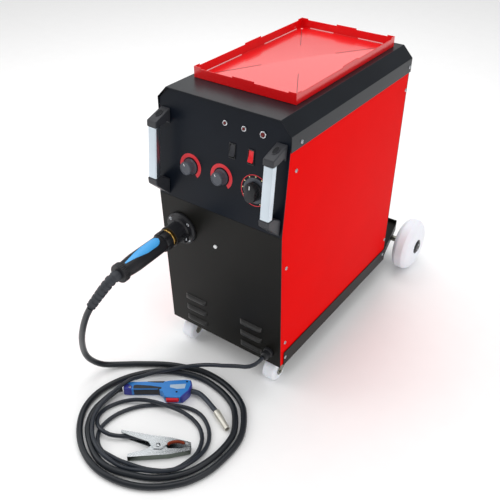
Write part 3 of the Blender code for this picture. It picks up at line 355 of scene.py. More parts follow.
def scatter_tree(name, source, mat, recess_mat=None):
    """Geometry Nodes: the source on every point, its local Z along the point's facing, at a named size.

    The source's recess faces can take a second material."""
    tree = bpy.data.node_groups.new(name, 'GeometryNodeTree')
    tree.interface.new_socket("Points", in_out='INPUT', socket_type='NodeSocketGeometry')
    tree.interface.new_socket("Head radius", in_out='INPUT', socket_type='NodeSocketFloat')
    tree.interface.new_socket("Made", in_out='OUTPUT', socket_type='NodeSocketGeometry')
    enter, leave = add(tree, "NodeGroupInput"), add(tree, "NodeGroupOutput")
    facing = add(tree, "GeometryNodeInputNamedAttribute", {"Name": "facing"}, data_type='FLOAT_VECTOR')
    turn = add(tree, "FunctionNodeAlignRotationToVector", {"Vector": facing.outputs["Attribute"]}, axis='Z')
    shape = add(tree, "GeometryNodeObjectInfo", {"Object": source})
    put = add(tree, "GeometryNodeInstanceOnPoints", {
        "Points": enter.outputs["Points"], "Instance": shape.outputs["Geometry"],
        "Rotation": turn.outputs[0], "Scale": enter.outputs["Head radius"]})
    real = add(tree, "GeometryNodeRealizeInstances", {"Geometry": put.outputs[0]})
    last = add(tree, "GeometryNodeSetMaterial", {"Geometry": real.outputs[0], "Material": mat}).outputs[0]
    if recess_mat:
        chosen = add(tree, "GeometryNodeInputNamedAttribute", {"Name": "recess"}, data_type='BOOLEAN')
        last = add(tree, "GeometryNodeSetMaterial", {
            "Geometry": last, "Selection": chosen.outputs["Attribute"], "Material": recess_mat}).outputs[0]
    tree.links.new(last, leave.inputs[0])
    return tree


screw_source = link(bpy.data.objects.new("screw_source", head_mesh))
screw_tree = scatter_tree("screw_heads", screw_source, bright_zinc, recess_painted_shade)


def screws(name, body, radius, spots, tree=None):
    """Screw heads at spots of (point, facing), points from the hood's front edge."""
    mesh = bpy.data.meshes.new(name)
    mesh.from_pydata([(x, y + FRONT, z) for (x, y, z), _ in spots], [], [])
    facing = mesh.attributes.new("facing", 'FLOAT_VECTOR', 'POINT')
    for item, (_, way) in zip(facing.data, spots):
        item.vector = Vector(way).normalized()
    piece = link(bpy.data.objects.new(name, mesh))
    nodes = piece.modifiers.new("heads", 'NODES')
    nodes.node_group = tree or screw_tree
    socket = next(s for s in nodes.node_group.interface.items_tree if s.name == "Head radius")
    nodes[socket.identifier] = radius
    bake(piece)
    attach(piece, body)
    return piece


right, back = (1, 0, 0), (0, 1, 0)
screws("side_panel_screws", "cabinet", 0.0042, [((BODY_X, y, z), right) for y, z in (
    (0.0086, 0.135), (0.0236, 0.559), (0.0018, 0.345), (0.4950, 0.1405), (0.4960, 0.562))])
screws("hood_screws", "cabinet", 0.0042, [((side * 0.1600, y, z), (side, 0, 0)) for side in (-1, 1)
                                          for y, z in ((0.0346, 0.6150), (0.4950, 0.6180))])
screws("base_screws", "cabinet", 0.0042, [((side * (BODY_X + 0.0022), y, z), (side, 0, 0)) for side in (-1, 1)
                                          for y, z in ((0.0090, 0.0915), (0.4915, 0.0944))])
screws("rear_panel_screws", "cabinet", 0.0038, [((x, 0.5030, z), back) for x in (-0.145, 0.145)
                                                for z in (0.120, 0.340, 0.580)])


# ---- front: control panel, lower sheet, louvres -------------------------------------------------------
# The upper sheet carries a printed blue-black film; the lower one is powder coated black with six
# pressed louvres that open downwards, and the sheet bends at the knee between the two.
KNEE_Y, KNEE_Z, FOOT_Y, BROW_Y = -0.0189, TOP_Z - 0.2348, -0.0078, 0.0064
LEAN = atan2(BROW_Y - KNEE_Y, TOP_Z - KNEE_Z)
TUCK = atan2(FOOT_Y - KNEE_Y, KNEE_Z - BASE_Z)


def front_y(z):
    if z >= KNEE_Z:
        return KNEE_Y + (z - KNEE_Z) * (BROW_Y - KNEE_Y) / (TOP_Z - KNEE_Z)
    return KNEE_Y + (KNEE_Z - z) * (FOOT_Y - KNEE_Y) / (KNEE_Z - BASE_Z)


def on_panel(x, z):
    return along((0, -cos(LEAN), sin(LEAN)), x, front_y(z), z)


def on_front(x, z):
    return along((0, -cos(TUCK), -sin(TUCK)), x, front_y(z), z)


panel_film = surface("printed_panel_film", "#0A0F18", "#0E1520", 0.34, grain=0.8, relief=0.008, patch=70.0,
                     spread=0.03, Specular_IOR_Level=0.18)
soften("control_panel", panel_film, 0.0004)
soften("front_panel", black_powder_coat, 0.0004)


def louvre_shell():
    """One pressed louvre, 1 long in X: a bulged hood, closed at the top and sides, open below."""
    bm = bmesh.new()
    across, up = 24, 8
    grid = []
    for i in range(across + 1):
        u = -1 + 2 * i / across
        end = (1 - abs(u) ** 7) ** 0.5
        line = []
        for j in range(up + 1):
            v = j / up
            bulge = (0.085 * cos(v * pi / 2) ** 0.8 + 0.002) * end
            line.append(bm.verts.new((u * 0.5, -0.07 + 0.19 * v, bulge)))
        grid.append(line)
    for i in range(across):
        for j in range(up):
            bm.faces.new((grid[i][j], grid[i + 1][j], grid[i + 1][j + 1], grid[i][j + 1]))
    return bm


shell = louvre_shell()
shell_mesh = bpy.data.meshes.new("louvre")
shell.to_mesh(shell_mesh)
shell.free()
shell_mesh.shade_smooth()
louvre_source = link(bpy.data.objects.new("louvre_source", shell_mesh))
thick = louvre_source.modifiers.new("sheet", 'SOLIDIFY')
thick.thickness, thick.offset = 0.022, -1.0
bake(louvre_source)
# The louvres' coat is lighter and blotchier than the sheet's: painted sheen for the light on their bulges.
louvre_painted_sheen_coat = surface("black_coat_painted_sheen", "#1B1B1A", "#2B2B2B", 0.34, grain=1.4, relief=0.02,
                      patch=9.0)
louvre_tree = scatter_tree("louvre_row", louvre_source, louvre_painted_sheen_coat)
LOUVRES = [((x, front_y(z) - 0.0001, z), (0, -cos(TUCK), -sin(TUCK))) for x in (-0.0794, 0.0781)
           for z in (TOP_Z - 0.5050, TOP_Z - 0.5378, TOP_Z - 0.5706)]
screws("louvres", "cabinet", 0.0600, LOUVRES, louvre_tree)


# ---- lamps and switches ---------------------------------------------------------------------------------
# Three red neon lamps in chromed bezels, and two snap-in rockers: moulded black for time, glossy red
# polycarbonate for power.
black_abs = surface("moulded_black_abs", "#1A1A1D", "#232428", 0.4, grain=0.7, relief=0.012, patch=25.0,
                    Specular_IOR_Level=0.4)
chrome = surface("chromed_brass", "#DADDE2", "#E6E8EC", 0.12, 1.0, grain=2.0, relief=0.002, spread=0.03)
red_lens = surface("red_polycarbonate", "#D8121F", "#EC1D28", 0.16, grain=2.0, relief=0.004, patch=6.0,
                   spread=0.04, Coat_Weight=0.4, Coat_Roughness=0.08)
dark_lens = surface("unlit_neon_lens", "#5A1210", "#701814", 0.14, grain=2.0, relief=0.004, patch=4.0,
                    spread=0.03)
for name, x, radius in (("led_left", 0.0093, 0.0046), ("led_middle", 0.0536, 0.0046),
                        ("led_right", 0.0970, 0.0060)):
    soften(name, dark_lens, 0.0003)
    bezel = [(radius - 0.0012, 0.0016), (radius + 0.0010, 0.0003), (radius + 0.0012, 0.0012),
             (radius + 0.0004, 0.0026), (radius - 0.0008, 0.0029), (radius - 0.0013, 0.0024)]
    settle(name + "_bezel", turned(bezel, on_panel(x, TOP_Z - 0.0387), 32), chrome, "cabinet", sharp=70)
soften("time_switch_housing", black_abs, 0.0004)
soften("power_switch_housing", black_abs, 0.0004)
soften("time_switch_rocker", surface("black_rocker_abs", "#26272B", "#2E2F35", 0.3, grain=1.5, relief=0.004),
       0.0008, 3)
soften("power_switch_rocker", red_lens, 0.0008, 3)


# ---- knobs ----------------------------------------------------------------------------------------------
# Ribbed phenolic knobs with a dished face and a white pointer dot over screen-printed red arcs, and a
# cam switch with a lobed grip over a grey collar. The print stands 0.1 mm proud.
knob_plastic = surface("grey_phenolic_knob", "#43474F", "#4E525B", 0.36, grain=0.6, relief=0.01, patch=12.0)
red_print = surface("red_screen_print", "#D8242E", "#E0303A", 0.5, grain=0.8, relief=0.004)
white_print = surface("white_screen_print", "#E6E8EA", "#F0F1F2", 0.5, grain=0.8, relief=0.004)
yellow_print = surface("cream_screen_print", "#D9CF9A", "#E2D9A8", 0.5, grain=0.8, relief=0.004)


def arc(inner, outer, start, stop, place, height=0.00012, steps=48):
    """A printed arc from start to stop in degrees, both counted from +X."""
    bm = bmesh.new()
    loops = []
    for k in range(steps + 1):
        angle = radians(start + (stop - start) * k / steps)
        loops.append([bm.verts.new((r * cos(angle), r * sin(angle), z))
                      for r, z in ((inner, 0.0), (outer, 0.0), (outer, height), (inner, height))])
    for one, two in zip(loops, loops[1:]):
        for k in range(4):
            bm.faces.new((one[k], one[(k + 1) % 4], two[(k + 1) % 4], two[k]))
    if abs(stop - start) < 359:
        bm.faces.new(loops[0])
        bm.faces.new(list(reversed(loops[-1])))
    else:
        bmesh.ops.remove_doubles(bm, verts=bm.verts, dist=1e-6)
    bm.transform(place @ Matrix.Translation((0, 0, 0.00002)))
    return bm


def disc(radius, x, y, z, place, height=0.0002, sides=20):
    return turned([(0, -height), (radius, -height), (radius, height * 0.5), (0, height)],
                  place @ Matrix.Translation((x, y, z)), sides)


KNOB = [(0, 0.0004), (0.0166, 0.0004), (0.0168, 0.0012), (0.0160, 0.0030), (0.0150, 0.0042),
        (0.0146, 0.0060), (0.0138, 0.0150), (0.0134, 0.0168), (0.0124, 0.0178), (0.0112, 0.0176),
        (0.0104, 0.0168), (0, 0.0165)]


def knob_ribs(angle, index):
    return 1 + 0.028 * (cos(24 * angle) > 0.1) * (4 < index < 8)


for node, x, z in (("delay_knob", -0.0735, TOP_Z - 0.1520), ("speed_knob", 0.0055, TOP_Z - 0.1507)):
    place = on_panel(x, z)
    settle(node + "_cap", turned(KNOB, place, 144, knob_ribs), knob_plastic, node, stands_for=(node,), sharp=40)
    pointer = prism([(-0.0007, 0.0050), (0.0007, 0.0050), (0.0007, 0.0102), (-0.0007, 0.0102)],
                    0.01655, 0.01680, place @ Matrix.Rotation(radians(30), 4, 'Z'))
    settle(node + "_pointer", pointer, white_print, node)
    settle(node + "_scale", arc(0.0195, 0.0272, 215, -48, place), red_print, "cabinet")
cam = on_panel(0.0870, TOP_Z - 0.1545)
lobes = lambda a, i: 0.62 + 0.38 * abs(sin(a)) ** 1.5 if i > 3 else 1.0
grip = [(0, 0.0006), (0.0172, 0.0006), (0.0174, 0.0030), (0.0160, 0.0060), (0.0190, 0.0062), (0.0202, 0.0080),
        (0.0202, 0.0160), (0.0192, 0.0190), (0.0172, 0.0199), (0, 0.0200)]
settle("range_switch_grip", turned(grip, cam, 96, lobes), black_abs, "range_switch", 0.0,
       ("range_switch_knob",), sharp=42)
mark = [(-0.0008, 0.0080), (0.0008, 0.0080), (0.0008, 0.0160), (-0.0008, 0.0160)]
settle("range_switch_pointer", prism(mark, 0.01995, 0.02015, cam), white_print, "range_switch")
settle("range_switch_collar", turned([(0.0180, 0.0001), (0.0262, 0.0001), (0.0262, 0.0012), (0.0250, 0.0020),
                                      (0.0190, 0.0020), (0.0180, 0.0014)], cam, 64), knob_plastic, "cabinet")
settle("range_switch_ring", arc(0.0312, 0.0326, 0, 360, cam, steps=96), red_print, "cabinet")
SPOT_RING = 0.0288       # radius of the ring of spots round the switch
spots = [disc(0.0014, SPOT_RING * cos(radians(a)), SPOT_RING * sin(radians(a)), 0.0002, cam)
         for a in range(-60, 241, 30)]
settle("range_switch_spots", join(*spots), yellow_print, "cabinet")
settle("panel_trim_plug", disc(0.0042, -0.0106, 0, 0.0016, on_front(0.0, 0.3400), 0.0016, 28), white_print,
       "cabinet")


# ---- lifting handles ------------------------------------------------------------------------------------
# Clear-anodised extruded bars with long soft edges, held in moulded glass-filled nylon brackets whose
# sloping tops have an oval well over the fixing screw.
bracket_nylon = surface("glass_filled_nylon", "#28292D", "#33343A", 0.46, grain=0.9, relief=0.02, patch=20.0)
anodised = surface("anodised_aluminium", "#C9D4DD", "#DCE6EE", 0.3, 1.0, grain=0.8, relief=0.006, patch=40.0,
                   stretch=(1, 1, 0.04), spread=0.05)
for side, x in (("left", -0.1398), ("right", 0.1398)):
    soften(f"handle_bar_{side}", anodised, 0.0010, 3)
    soften(f"handle_bracket_{side}_upper", bracket_nylon, 0.0022, 4)
    soften(f"handle_bracket_{side}_lower", bracket_nylon, 0.0022, 4)
    slope = along((0, -0.36, 0.93), x, front_y(TOP_Z - 0.052) - 0.0215, TOP_Z - 0.0484)
    well = [(0.0052 * cos(2 * pi * k / 28), 0.0092 * sin(2 * pi * k / 28)) for k in range(28)]
    rim = [(px * 1.16, py * 1.12) for px, py in well]
    # The well is a dark plug of painted shade inside a nylon rim.
    settle(f"handle_well_{side}", prism(well, -0.0010, 0.0004, slope), recess_painted_shade, "cabinet", 0.0003)
    settle(f"handle_well_rim_{side}", prism(rim, -0.0010, 0.0002, slope), bracket_nylon, "cabinet", 0.0002)


# ---- torch socket, plug and strain relief -----------------------------------------------------------------
# Moulded black flange with four bright screws and a clamp ear, a brass ring, a notched union nut, and
# the plug's long housing with a raised blue inlay, a ribbed ring and a grey ribbed rubber sleeve.
WIRE_X, WIRE_Z = -0.1018, 0.3536
socket = on_front(WIRE_X, WIRE_Z)
out = (0, -cos(TUCK), -sin(TUCK))
soften("torch_socket", black_abs, 0.0008, 3)
machined_brass = surface("machined_brass", "#C99C4C", "#DDB468", 0.25, 1.0, grain=0.5, relief=0.004, patch=8.0)
blue_abs = surface("moulded_blue_abs", "#2373BE", "#2C84D2", 0.36, grain=0.8, relief=0.010, patch=20.0)
light_blue_abs = surface("light_blue_inlay_abs", "#3FA0E4", "#52B0F0", 0.36, grain=0.8, relief=0.010, patch=20.0)


def from_front(place, x, y, z):
    """A point of a placed part, with its y counted from the hood's front edge, as screws() takes it."""
    return tuple(place @ Vector((x, y, z)) - Vector((0, FRONT, 0)))


SCREW_RING = 0.0310      # radius of the flange's ring of screws
screws("socket_screws", "cabinet", 0.0042,
       [(from_front(socket, SCREW_RING * cos(a), SCREW_RING * sin(a), 0.0080), out)
        for a in (radians(40), radians(140), radians(230), radians(320))])
screws("clamp_ear_screw", "cabinet", 0.0038, [(from_front(socket, 0.0300, -0.0060, 0.0220), right)])
settle("union_ring", turned([(0.0140, 0.0442), (0.0206, 0.0442), (0.0210, 0.0448), (0.0210, 0.0506),
                             (0.0206, 0.0512), (0.0140, 0.0512)], socket, 48), machined_brass, "cabinet", sharp=40)
nut = [(0.0100, 0.0514), (0.0205, 0.0514), (0.0222, 0.0526), (0.0225, 0.0540), (0.0225, 0.0680), (0.0220, 0.0694),
       (0.0205, 0.0709), (0.0100, 0.0709)]
settle("union_nut", join(turned(nut, socket, 96, lambda a, i: 1 - 0.11 * (cos(8 * a) > 0.86) if 1 < i < 6 else
                                1 - 0.05 * (cos(8 * a) > 0.86)),
                         turned([(0, 0.0335), (0.0172, 0.0335), (0.0172, 0.0480), (0, 0.0480)], socket, 32)),
       black_abs, "cabinet", stands_for=("torch_plug_nut",), sharp=35)
shape = [(0, 0.0714), (0.0186, 0.0714), (0.0192, 0.0720), (0.0196, 0.1000), (0.0199, 0.1500), (0.0190, 0.1640),
         (0.0174, 0.1800), (0.0174, 0.1830), (0.0206, 0.1836), (0.0210, 0.1846), (0.0210, 0.1950), (0.0206, 0.1964),
         (0.0194, 0.1978), (0, 0.1978)]
settle("plug_housing", turned(shape, socket, 120, lambda a, i: 1 - 0.05 * (cos(30 * a) > 0.2) * (9 <= i <= 10)),
       black_abs, "cabinet", stands_for=("torch_plug_housing",), sharp=38)
inlay = bmesh.new()
rows = []
for k in range(33):
    t = k / 32
    half = 0.62 * (1 - (2 * max(0.0, 0.16 - t) / 0.32) ** 2) ** 0.5 * (1 - 0.86 * max(0.0, t - 0.45) / 0.55)
    depth = 0.0800 + 0.0980 * t
    radius = 0.0196 + (0.0003 if depth < 0.15 else -0.0022 * (depth - 0.15) / 0.03)
    row = []
    for lift in (0.0, 0.0009):
        for j in range(13):
            a = radians(78) + half * (1 - j / 6)
            edge = 0.0 if j in (0, 12) else 1.0
            row.append(inlay.verts.new(((radius - 0.0006 + lift * edge * 1.3 + lift * 0.3) * cos(a),
                                        (radius - 0.0006 + lift * edge * 1.3 + lift * 0.3) * sin(a), depth)))
    rows.append(row)
for one, two in zip(rows, rows[1:]):
    for j in range(12):
        inlay.faces.new((one[13 + j], one[14 + j], two[14 + j], two[13 + j]))
        inlay.faces.new((one[j + 1], one[j], two[j], two[j + 1]))
    inlay.faces.new((one[0], one[13], two[13], two[0]))
    inlay.faces.new((one[25], one[12], two[12], two[25]))
for row, flip in ((rows[0], 1), (rows[-1], -1)):
    for j in range(12):
        corners = [row[j], row[j + 1], row[14 + j], row[13 + j]]
        inlay.faces.new(corners[::flip])
inlay.transform(socket)
settle("plug_inlay", inlay, light_blue_abs, "cabinet", sharp=60)


def smooth_path(points, spacing):
    """Evenly spaced points on a smooth curve through given ones."""
    route = [Vector(p) for p in points]
    route = [2 * route[0] - route[1]] + route + [2 * route[-1] - route[-2]]
    fine = []
    for k in range(1, len(route) - 2):
        p0, p1, p2, p3 = route[k - 1:k + 3]
        for i in range(12):
            t = i / 12
            fine.append(0.5 * (2 * p1 + (p2 - p0) * t + (2 * p0 - 5 * p1 + 4 * p2 - p3) * t * t
                               + (3 * p1 - p0 - 3 * p2 + p3) * t ** 3))
    fine.append(route[-2])
    total = sum((b - a).length for a, b in zip(fine, fine[1:]))
    step = total / max(2, round(total / spacing))
    result, walked, target = [fine[0]], 0.0, step
    for a, b in zip(fine, fine[1:]):
        length = (b - a).length
        while walked + length >= target - 1e-9 and target < total - step / 2:
            result.append(a.lerp(b, (target - walked) / length))
            target += step
        walked += length
    return result + [fine[-1]]


def placed(route):
    return [Vector((x, y + FRONT, z)) for x, y, z in route]


def sleeve(path, radius_at, sides=32):
    """A closed tube round a path, with a radius for each distance along it."""
    bm = bmesh.new()
    rings, walked = [], 0.0
    normal = None
    for k, point in enumerate(path):
        way = (path[min(k + 1, len(path) - 1)] - path[max(k - 1, 0)]).normalized()
        normal = (Vector((0, 0, 1)) if normal is None else normal)
        normal = (normal - way * normal.dot(way)).normalized()
        other = way.cross(normal)
        walked += (point - path[k - 1]).length if k else 0.0
        r = radius_at(walked)
        rings.append([bm.verts.new(point + (normal * cos(2 * pi * j / sides) + other * sin(2 * pi * j / sides)) * r)
                      for j in range(sides)])
    for one, two in zip(rings, rings[1:]):
        for j in range(sides):
            bm.faces.new((one[j], one[(j + 1) % sides], two[(j + 1) % sides], two[j]))
    bm.faces.new(rings[0])
    bm.faces.new(rings[-1])
    return bm


# Routes in metres: x from the middle, y from the hood's front edge, floor at z = 0.
RELIEF_ROUTE = [
    (-0.1022, -0.2196, 0.3466), (-0.1056, -0.2315, 0.3415), (-0.1130, -0.2440, 0.3270),
    (-0.1240, -0.2540, 0.3070), (-0.1350, -0.2670, 0.2845)]
TORCH_ROUTE = [
    (-0.1360, -0.2680, 0.2815), (-0.1490, -0.2720, 0.2560), (-0.1690, -0.2710, 0.2130),
    (-0.1940, -0.2620, 0.1600), (-0.2200, -0.2450, 0.1000), (-0.2260, -0.2340, 0.0640),
    (-0.2250, -0.2180, 0.0360), (-0.2160, -0.2010, 0.0185), (-0.2020, -0.1820, 0.0105),
    (-0.1800, -0.1610, 0.0076), (-0.1550, -0.1420, 0.0074), (-0.1050, -0.1080, 0.0074),
    (-0.0610, -0.0870, 0.0074), (-0.0170, -0.0730, 0.0074), (0.0340, -0.0720, 0.0074),
    (0.0790, -0.0820, 0.0074), (0.1170, -0.1000, 0.0074), (0.1420, -0.1250, 0.0074),
    (0.1650, -0.1620, 0.0074), (0.1740, -0.1940, 0.0074), (0.1750, -0.2300, 0.0074),
    (0.1690, -0.2790, 0.0074), (0.1520, -0.3210, 0.0074), (0.1270, -0.3530, 0.0074),
    (0.0970, -0.3790, 0.0074), (0.0610, -0.3980, 0.0074), (0.0210, -0.4090, 0.0074),
    (-0.0210, -0.4112, 0.0074), (-0.0645, -0.4008, 0.0074), (-0.1020, -0.3810, 0.0074),
    (-0.1350, -0.3520, 0.0074), (-0.1590, -0.3170, 0.0074), (-0.1690, -0.2810, 0.0074),
    (-0.1680, -0.2480, 0.0074), (-0.1590, -0.2150, 0.0074), (-0.1440, -0.1840, 0.0074),
    (-0.1230, -0.1550, 0.0074), (-0.1000, -0.1320, 0.0074), (-0.0700, -0.1130, 0.0074),
    (-0.0350, -0.0990, 0.0074), (-0.0010, -0.0920, 0.0074), (0.0290, -0.0930, 0.0074),
    (0.0640, -0.0990, 0.0074), (0.0970, -0.1120, 0.0074), (0.1210, -0.1310, 0.0074),
    (0.1480, -0.1680, 0.0074), (0.1560, -0.1950, 0.0074), (0.1570, -0.2320, 0.0074),
    (0.1510, -0.2690, 0.0074), (0.1380, -0.3050, 0.0074), (0.1140, -0.3380, 0.0074),
    (0.0830, -0.3630, 0.0074), (0.0450, -0.3810, 0.0074), (0.0080, -0.3932, 0.0074),
    (-0.0270, -0.3943, 0.0074), (-0.0592, -0.3843, 0.0074), (-0.0912, -0.3663, 0.0074),
    (-0.1150, -0.3470, 0.0074), (-0.1310, -0.3230, 0.0074), (-0.1400, -0.2990, 0.0074),
    (-0.1410, -0.2770, 0.0080), (-0.1405, -0.2600, 0.0088), (-0.1385, -0.2450, 0.0100),
    (-0.1365, -0.2328, 0.0110), (-0.1301, -0.2260, 0.0115)]
EARTH_ROUTE = [
    (0.1275, -0.0350, 0.1043), (0.1262, -0.0490, 0.1025), (0.1200, -0.0610, 0.0985),
    (0.1075, -0.0685, 0.0930), (0.0880, -0.0705, 0.0850), (0.0640, -0.0710, 0.0725),
    (0.0400, -0.0720, 0.0598), (0.0240, -0.0720, 0.0520), (-0.0060, -0.0770, 0.0390),
    (-0.0320, -0.0860, 0.0290), (-0.0540, -0.1000, 0.0225), (-0.0730, -0.1190, 0.0200),
    (-0.0910, -0.1400, 0.0195), (-0.1050, -0.1600, 0.0195), (-0.1155, -0.1820, 0.0215),
    (-0.1205, -0.2015, 0.0286), (-0.1250, -0.2160, 0.0280), (-0.1278, -0.2390, 0.0272),
    (-0.1280, -0.2680, 0.0262), (-0.1260, -0.2980, 0.0225), (-0.1180, -0.3240, 0.0185),
    (-0.1025, -0.3445, 0.0178), (-0.0888, -0.3578, 0.0162), (-0.0680, -0.3708, 0.0176),
    (-0.0470, -0.3790, 0.0165), (-0.0260, -0.3830, 0.0150), (-0.0040, -0.3810, 0.0106),
    (0.0160, -0.3770, 0.0052), (0.0390, -0.3695, 0.0077), (0.0598, -0.3622, 0.0137),
    (0.0773, -0.3553, 0.0168), (0.0930, -0.3448, 0.0175), (0.1080, -0.3310, 0.0170),
    (0.1200, -0.3150, 0.0162), (0.1270, -0.2950, 0.0145), (0.1300, -0.2730, 0.0110),
    (0.1290, -0.2500, 0.0075), (0.1230, -0.2280, 0.0050), (0.1090, -0.2060, 0.0050),
    (0.0910, -0.1900, 0.0050), (0.0670, -0.1780, 0.0050), (0.0440, -0.1750, 0.0050),
    (0.0190, -0.1800, 0.0050), (-0.0090, -0.1930, 0.0050), (-0.0350, -0.2110, 0.0050),
    (-0.0590, -0.2310, 0.0050), (-0.0770, -0.2540, 0.0050), (-0.0890, -0.2790, 0.0050),
    (-0.0940, -0.3040, 0.0050), (-0.0930, -0.3270, 0.0050), (-0.0840, -0.3470, 0.0050),
    (-0.0680, -0.3630, 0.0050), (-0.0470, -0.3720, 0.0050), (-0.0260, -0.3710, 0.0050),
    (-0.0040, -0.3690, 0.0050), (0.0190, -0.3640, 0.0050), (0.0410, -0.3580, 0.0050),
    (0.0630, -0.3500, 0.0050), (0.0820, -0.3400, 0.0050), (0.1010, -0.3270, 0.0050),
    (0.1120, -0.3080, 0.0050), (0.1180, -0.2850, 0.0050), (0.1200, -0.2630, 0.0050),
    (0.1130, -0.2400, 0.0050), (0.1010, -0.2210, 0.0050), (0.0800, -0.2050, 0.0055),
    (0.0550, -0.1980, 0.0080), (0.0310, -0.1980, 0.0120), (0.0090, -0.2030, 0.0155),
    (-0.0150, -0.2080, 0.0160), (-0.0420, -0.2150, 0.0152), (-0.0700, -0.2250, 0.0125),
    (-0.0940, -0.2390, 0.0080), (-0.1110, -0.2570, 0.0050), (-0.1210, -0.2790, 0.0050),
    (-0.1230, -0.2980, 0.0055), (-0.1180, -0.3140, 0.0075), (-0.1060, -0.3280, 0.0110),
    (-0.0900, -0.3370, 0.0152), (-0.0720, -0.3400, 0.0160), (-0.0560, -0.3370, 0.0145),
    (-0.0410, -0.3270, 0.0110), (-0.0200, -0.3130, 0.0100), (-0.0005, -0.3042, 0.0100),
    (0.0163, -0.2970, 0.0100), (0.0256, -0.2930, 0.0100)]
grey_rubber = surface("grey_moulded_rubber", "#2C2F35", "#383C43", 0.55, grain=0.8, relief=0.02, patch=15.0)
cable_pvc = surface("matt_pvc_cable_sheath", "#14181E", "#1C2128", 0.36, grain=1.2, relief=0.02, patch=40.0,
                    spread=0.06)
relief_path = smooth_path([socket @ Vector((0, 0, 0.1900))] + placed(RELIEF_ROUTE), 0.0008)
RIB_PITCH = 0.0125       # spacing of the sleeve's ribs


def relief_radius(way_along):
    """The sleeve tapers towards the lead, with a rib on each stretch of its pitch."""
    return 0.0108 - 0.022 * way_along + 0.0014 * (sin(way_along * 2 * pi / RIB_PITCH) > -0.2)


settle("strain_relief_sleeve", sleeve(relief_path, relief_radius), grey_rubber, "cabinet",
       stands_for=("torch_strain_relief",), sharp=35)


# ---- leads ---------------------------------------------------------------------------------------------
# The torch lead is a 14 mm PVC-sheathed hose with wire liner, gas and current; the earth lead is a
# 9 mm welding cable. Both lie in loose turns on the floor, each held at both ends.
def lead(name, route, diameter, mat, node):
    curve = bpy.data.curves.new(name, 'CURVE')
    curve.dimensions = '3D'
    curve.bevel_depth, curve.bevel_resolution, curve.use_fill_caps = diameter / 2, 6, True
    path = smooth_path(placed(route), 0.012)
    spline = curve.splines.new('POLY')
    spline.points.add(len(path) - 1)
    for knot, place in zip(spline.points, path):
        knot.co = (place.x, place.y, place.z, 1)
    spline.use_smooth = True
    curve.materials.append(mat)
    piece = link(bpy.data.objects.new(name, curve))
    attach(piece, "cabinet")
    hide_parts(node)
    length = sum((b - a).length for a, b in zip(path, path[1:]))
    return piece, path[0], round(length, 3)


torch_lead, torch_exit, torch_length = lead("torch_lead", TORCH_ROUTE, 0.0140, cable_pvc, "torch_cable")
earth_pvc = surface("grey_pvc_earth_sheath", "#1C2129", "#262C36", 0.34, grain=1.2, relief=0.02, patch=40.0,
                    spread=0.06)
earth_lead, earth_exit, earth_length = lead("earth_lead", EARTH_ROUTE, 0.0092, earth_pvc, "earth_cable")


# ---- torch ------------------------------------------------------------------------------------------------
# Two-shot moulding: black ribbed grip with a blue spine, blue head with a dark rim and a red trigger,
# a bent neck in a grey sleeve and a plated conical nozzle, open at its end.
hand = Matrix.Translation((-0.1267, -0.2234 + FRONT, 0.0115)) @ Matrix.Rotation(radians(37), 4, 'Z')
soften("torch_handle", blue_abs, 0.0045, 4)
indigo_abs = surface("moulded_indigo_abs", "#2B2F86", "#35399A", 0.4, grain=0.8, relief=0.01, patch=12.0)
grip_black = surface("soft_touch_grip", "#202227", "#2B2E34", 0.55, grain=0.7, relief=0.03, patch=15.0)
lower_grip = [(0.0210, -0.0117), (0.0780, -0.0127), (0.0860, -0.0160), (0.0900, -0.0060), (0.0600, 0.0000),
              (0.0300, 0.0030), (0.0210, 0.0020)]
upper_grip = [(0.0520, 0.0118), (0.0940, 0.0118), (0.0900, 0.0060), (0.0700, 0.0070), (0.0560, 0.0095)]
for name, outline in (("grip_lower_shell", lower_grip), ("grip_upper_shell", upper_grip)):
    settle(name, prism(outline, -0.0109, 0.0109, hand), grip_black, "cabinet", 0.0030, segments=3)
clip = [(-0.0004, -0.0100), (0.0200, -0.0122), (0.0220, -0.0040), (0.0150, 0.0035), (0.0060, 0.0085),
        (-0.0004, 0.0098)]
settle("grip_rear_clip", prism(clip, -0.0110, 0.0110, hand), indigo_abs, "cabinet", 0.0030, segments=3)
rim = [(0.1300, -0.0379), (0.1364, -0.0370), (0.1506, -0.0203), (0.1566, -0.0020), (0.1534, 0.0134),
       (0.1500, 0.0130), (0.1520, -0.0010), (0.1470, -0.0170), (0.1340, -0.0320)]
settle("head_rim", prism(rim, -0.0108, 0.0108, hand), indigo_abs, "cabinet", 0.0025, segments=3)
plate = [(0.1060, 0.0000), (0.1420, 0.0020), (0.1400, -0.0120), (0.1220, -0.0130), (0.1060, -0.0080)]
settle("head_label_plate", prism(plate, 0.0100, 0.01085, hand),
       surface("plain_label_film", "#9FB6CC", "#B4C6D6", 0.4, grain=1.0, relief=0.004), "cabinet", 0.0003)
# The screw holes are dark discs of painted shade.
for name, x, y in (("head_screw_hole_front", 0.1440, 0.0085), ("head_screw_hole_rear", 0.1220, -0.0220)):
    settle(name, disc(0.0024, x, y, 0.0106, hand, 0.0004), recess_painted_shade, "cabinet")
screws("clip_screw", "cabinet", 0.0032, [(from_front(hand, 0.0150, -0.0060, 0.0110), (0, 0, 1))])
soften("torch_trigger", surface("red_trigger_abs", "#D91F32", "#E82C3E", 0.32, grain=0.8, relief=0.006),
       0.0022, 4)
neck_sleeve = surface("grey_neck_sleeve", "#2E343D", "#3A414C", 0.36, 0.1, grain=0.9, relief=0.01,
                      patch=12.0)
soften("torch_neck", neck_sleeve, 0.0, sharp=60, flatten=0.2)
aim = along(Vector((0.0519, -0.0247, -0.0022)), 0.0872, -0.1538, 0.0118)
plated_copper = surface("plated_copper_nozzle", "#D9D5C8", "#E6E3DA", 0.3, 0.6, grain=1.2, relief=0.01,
                        patch=10.0)
cone = [(0.0045, 0.0004), (0.0078, 0.0004), (0.0080, 0.0012), (0.0080, 0.0155), (0.0076, 0.0175),
        (0.0064, 0.0510), (0.0062, 0.0529), (0.0052, 0.0529), (0.0052, 0.0440), (0.0045, 0.0400)]
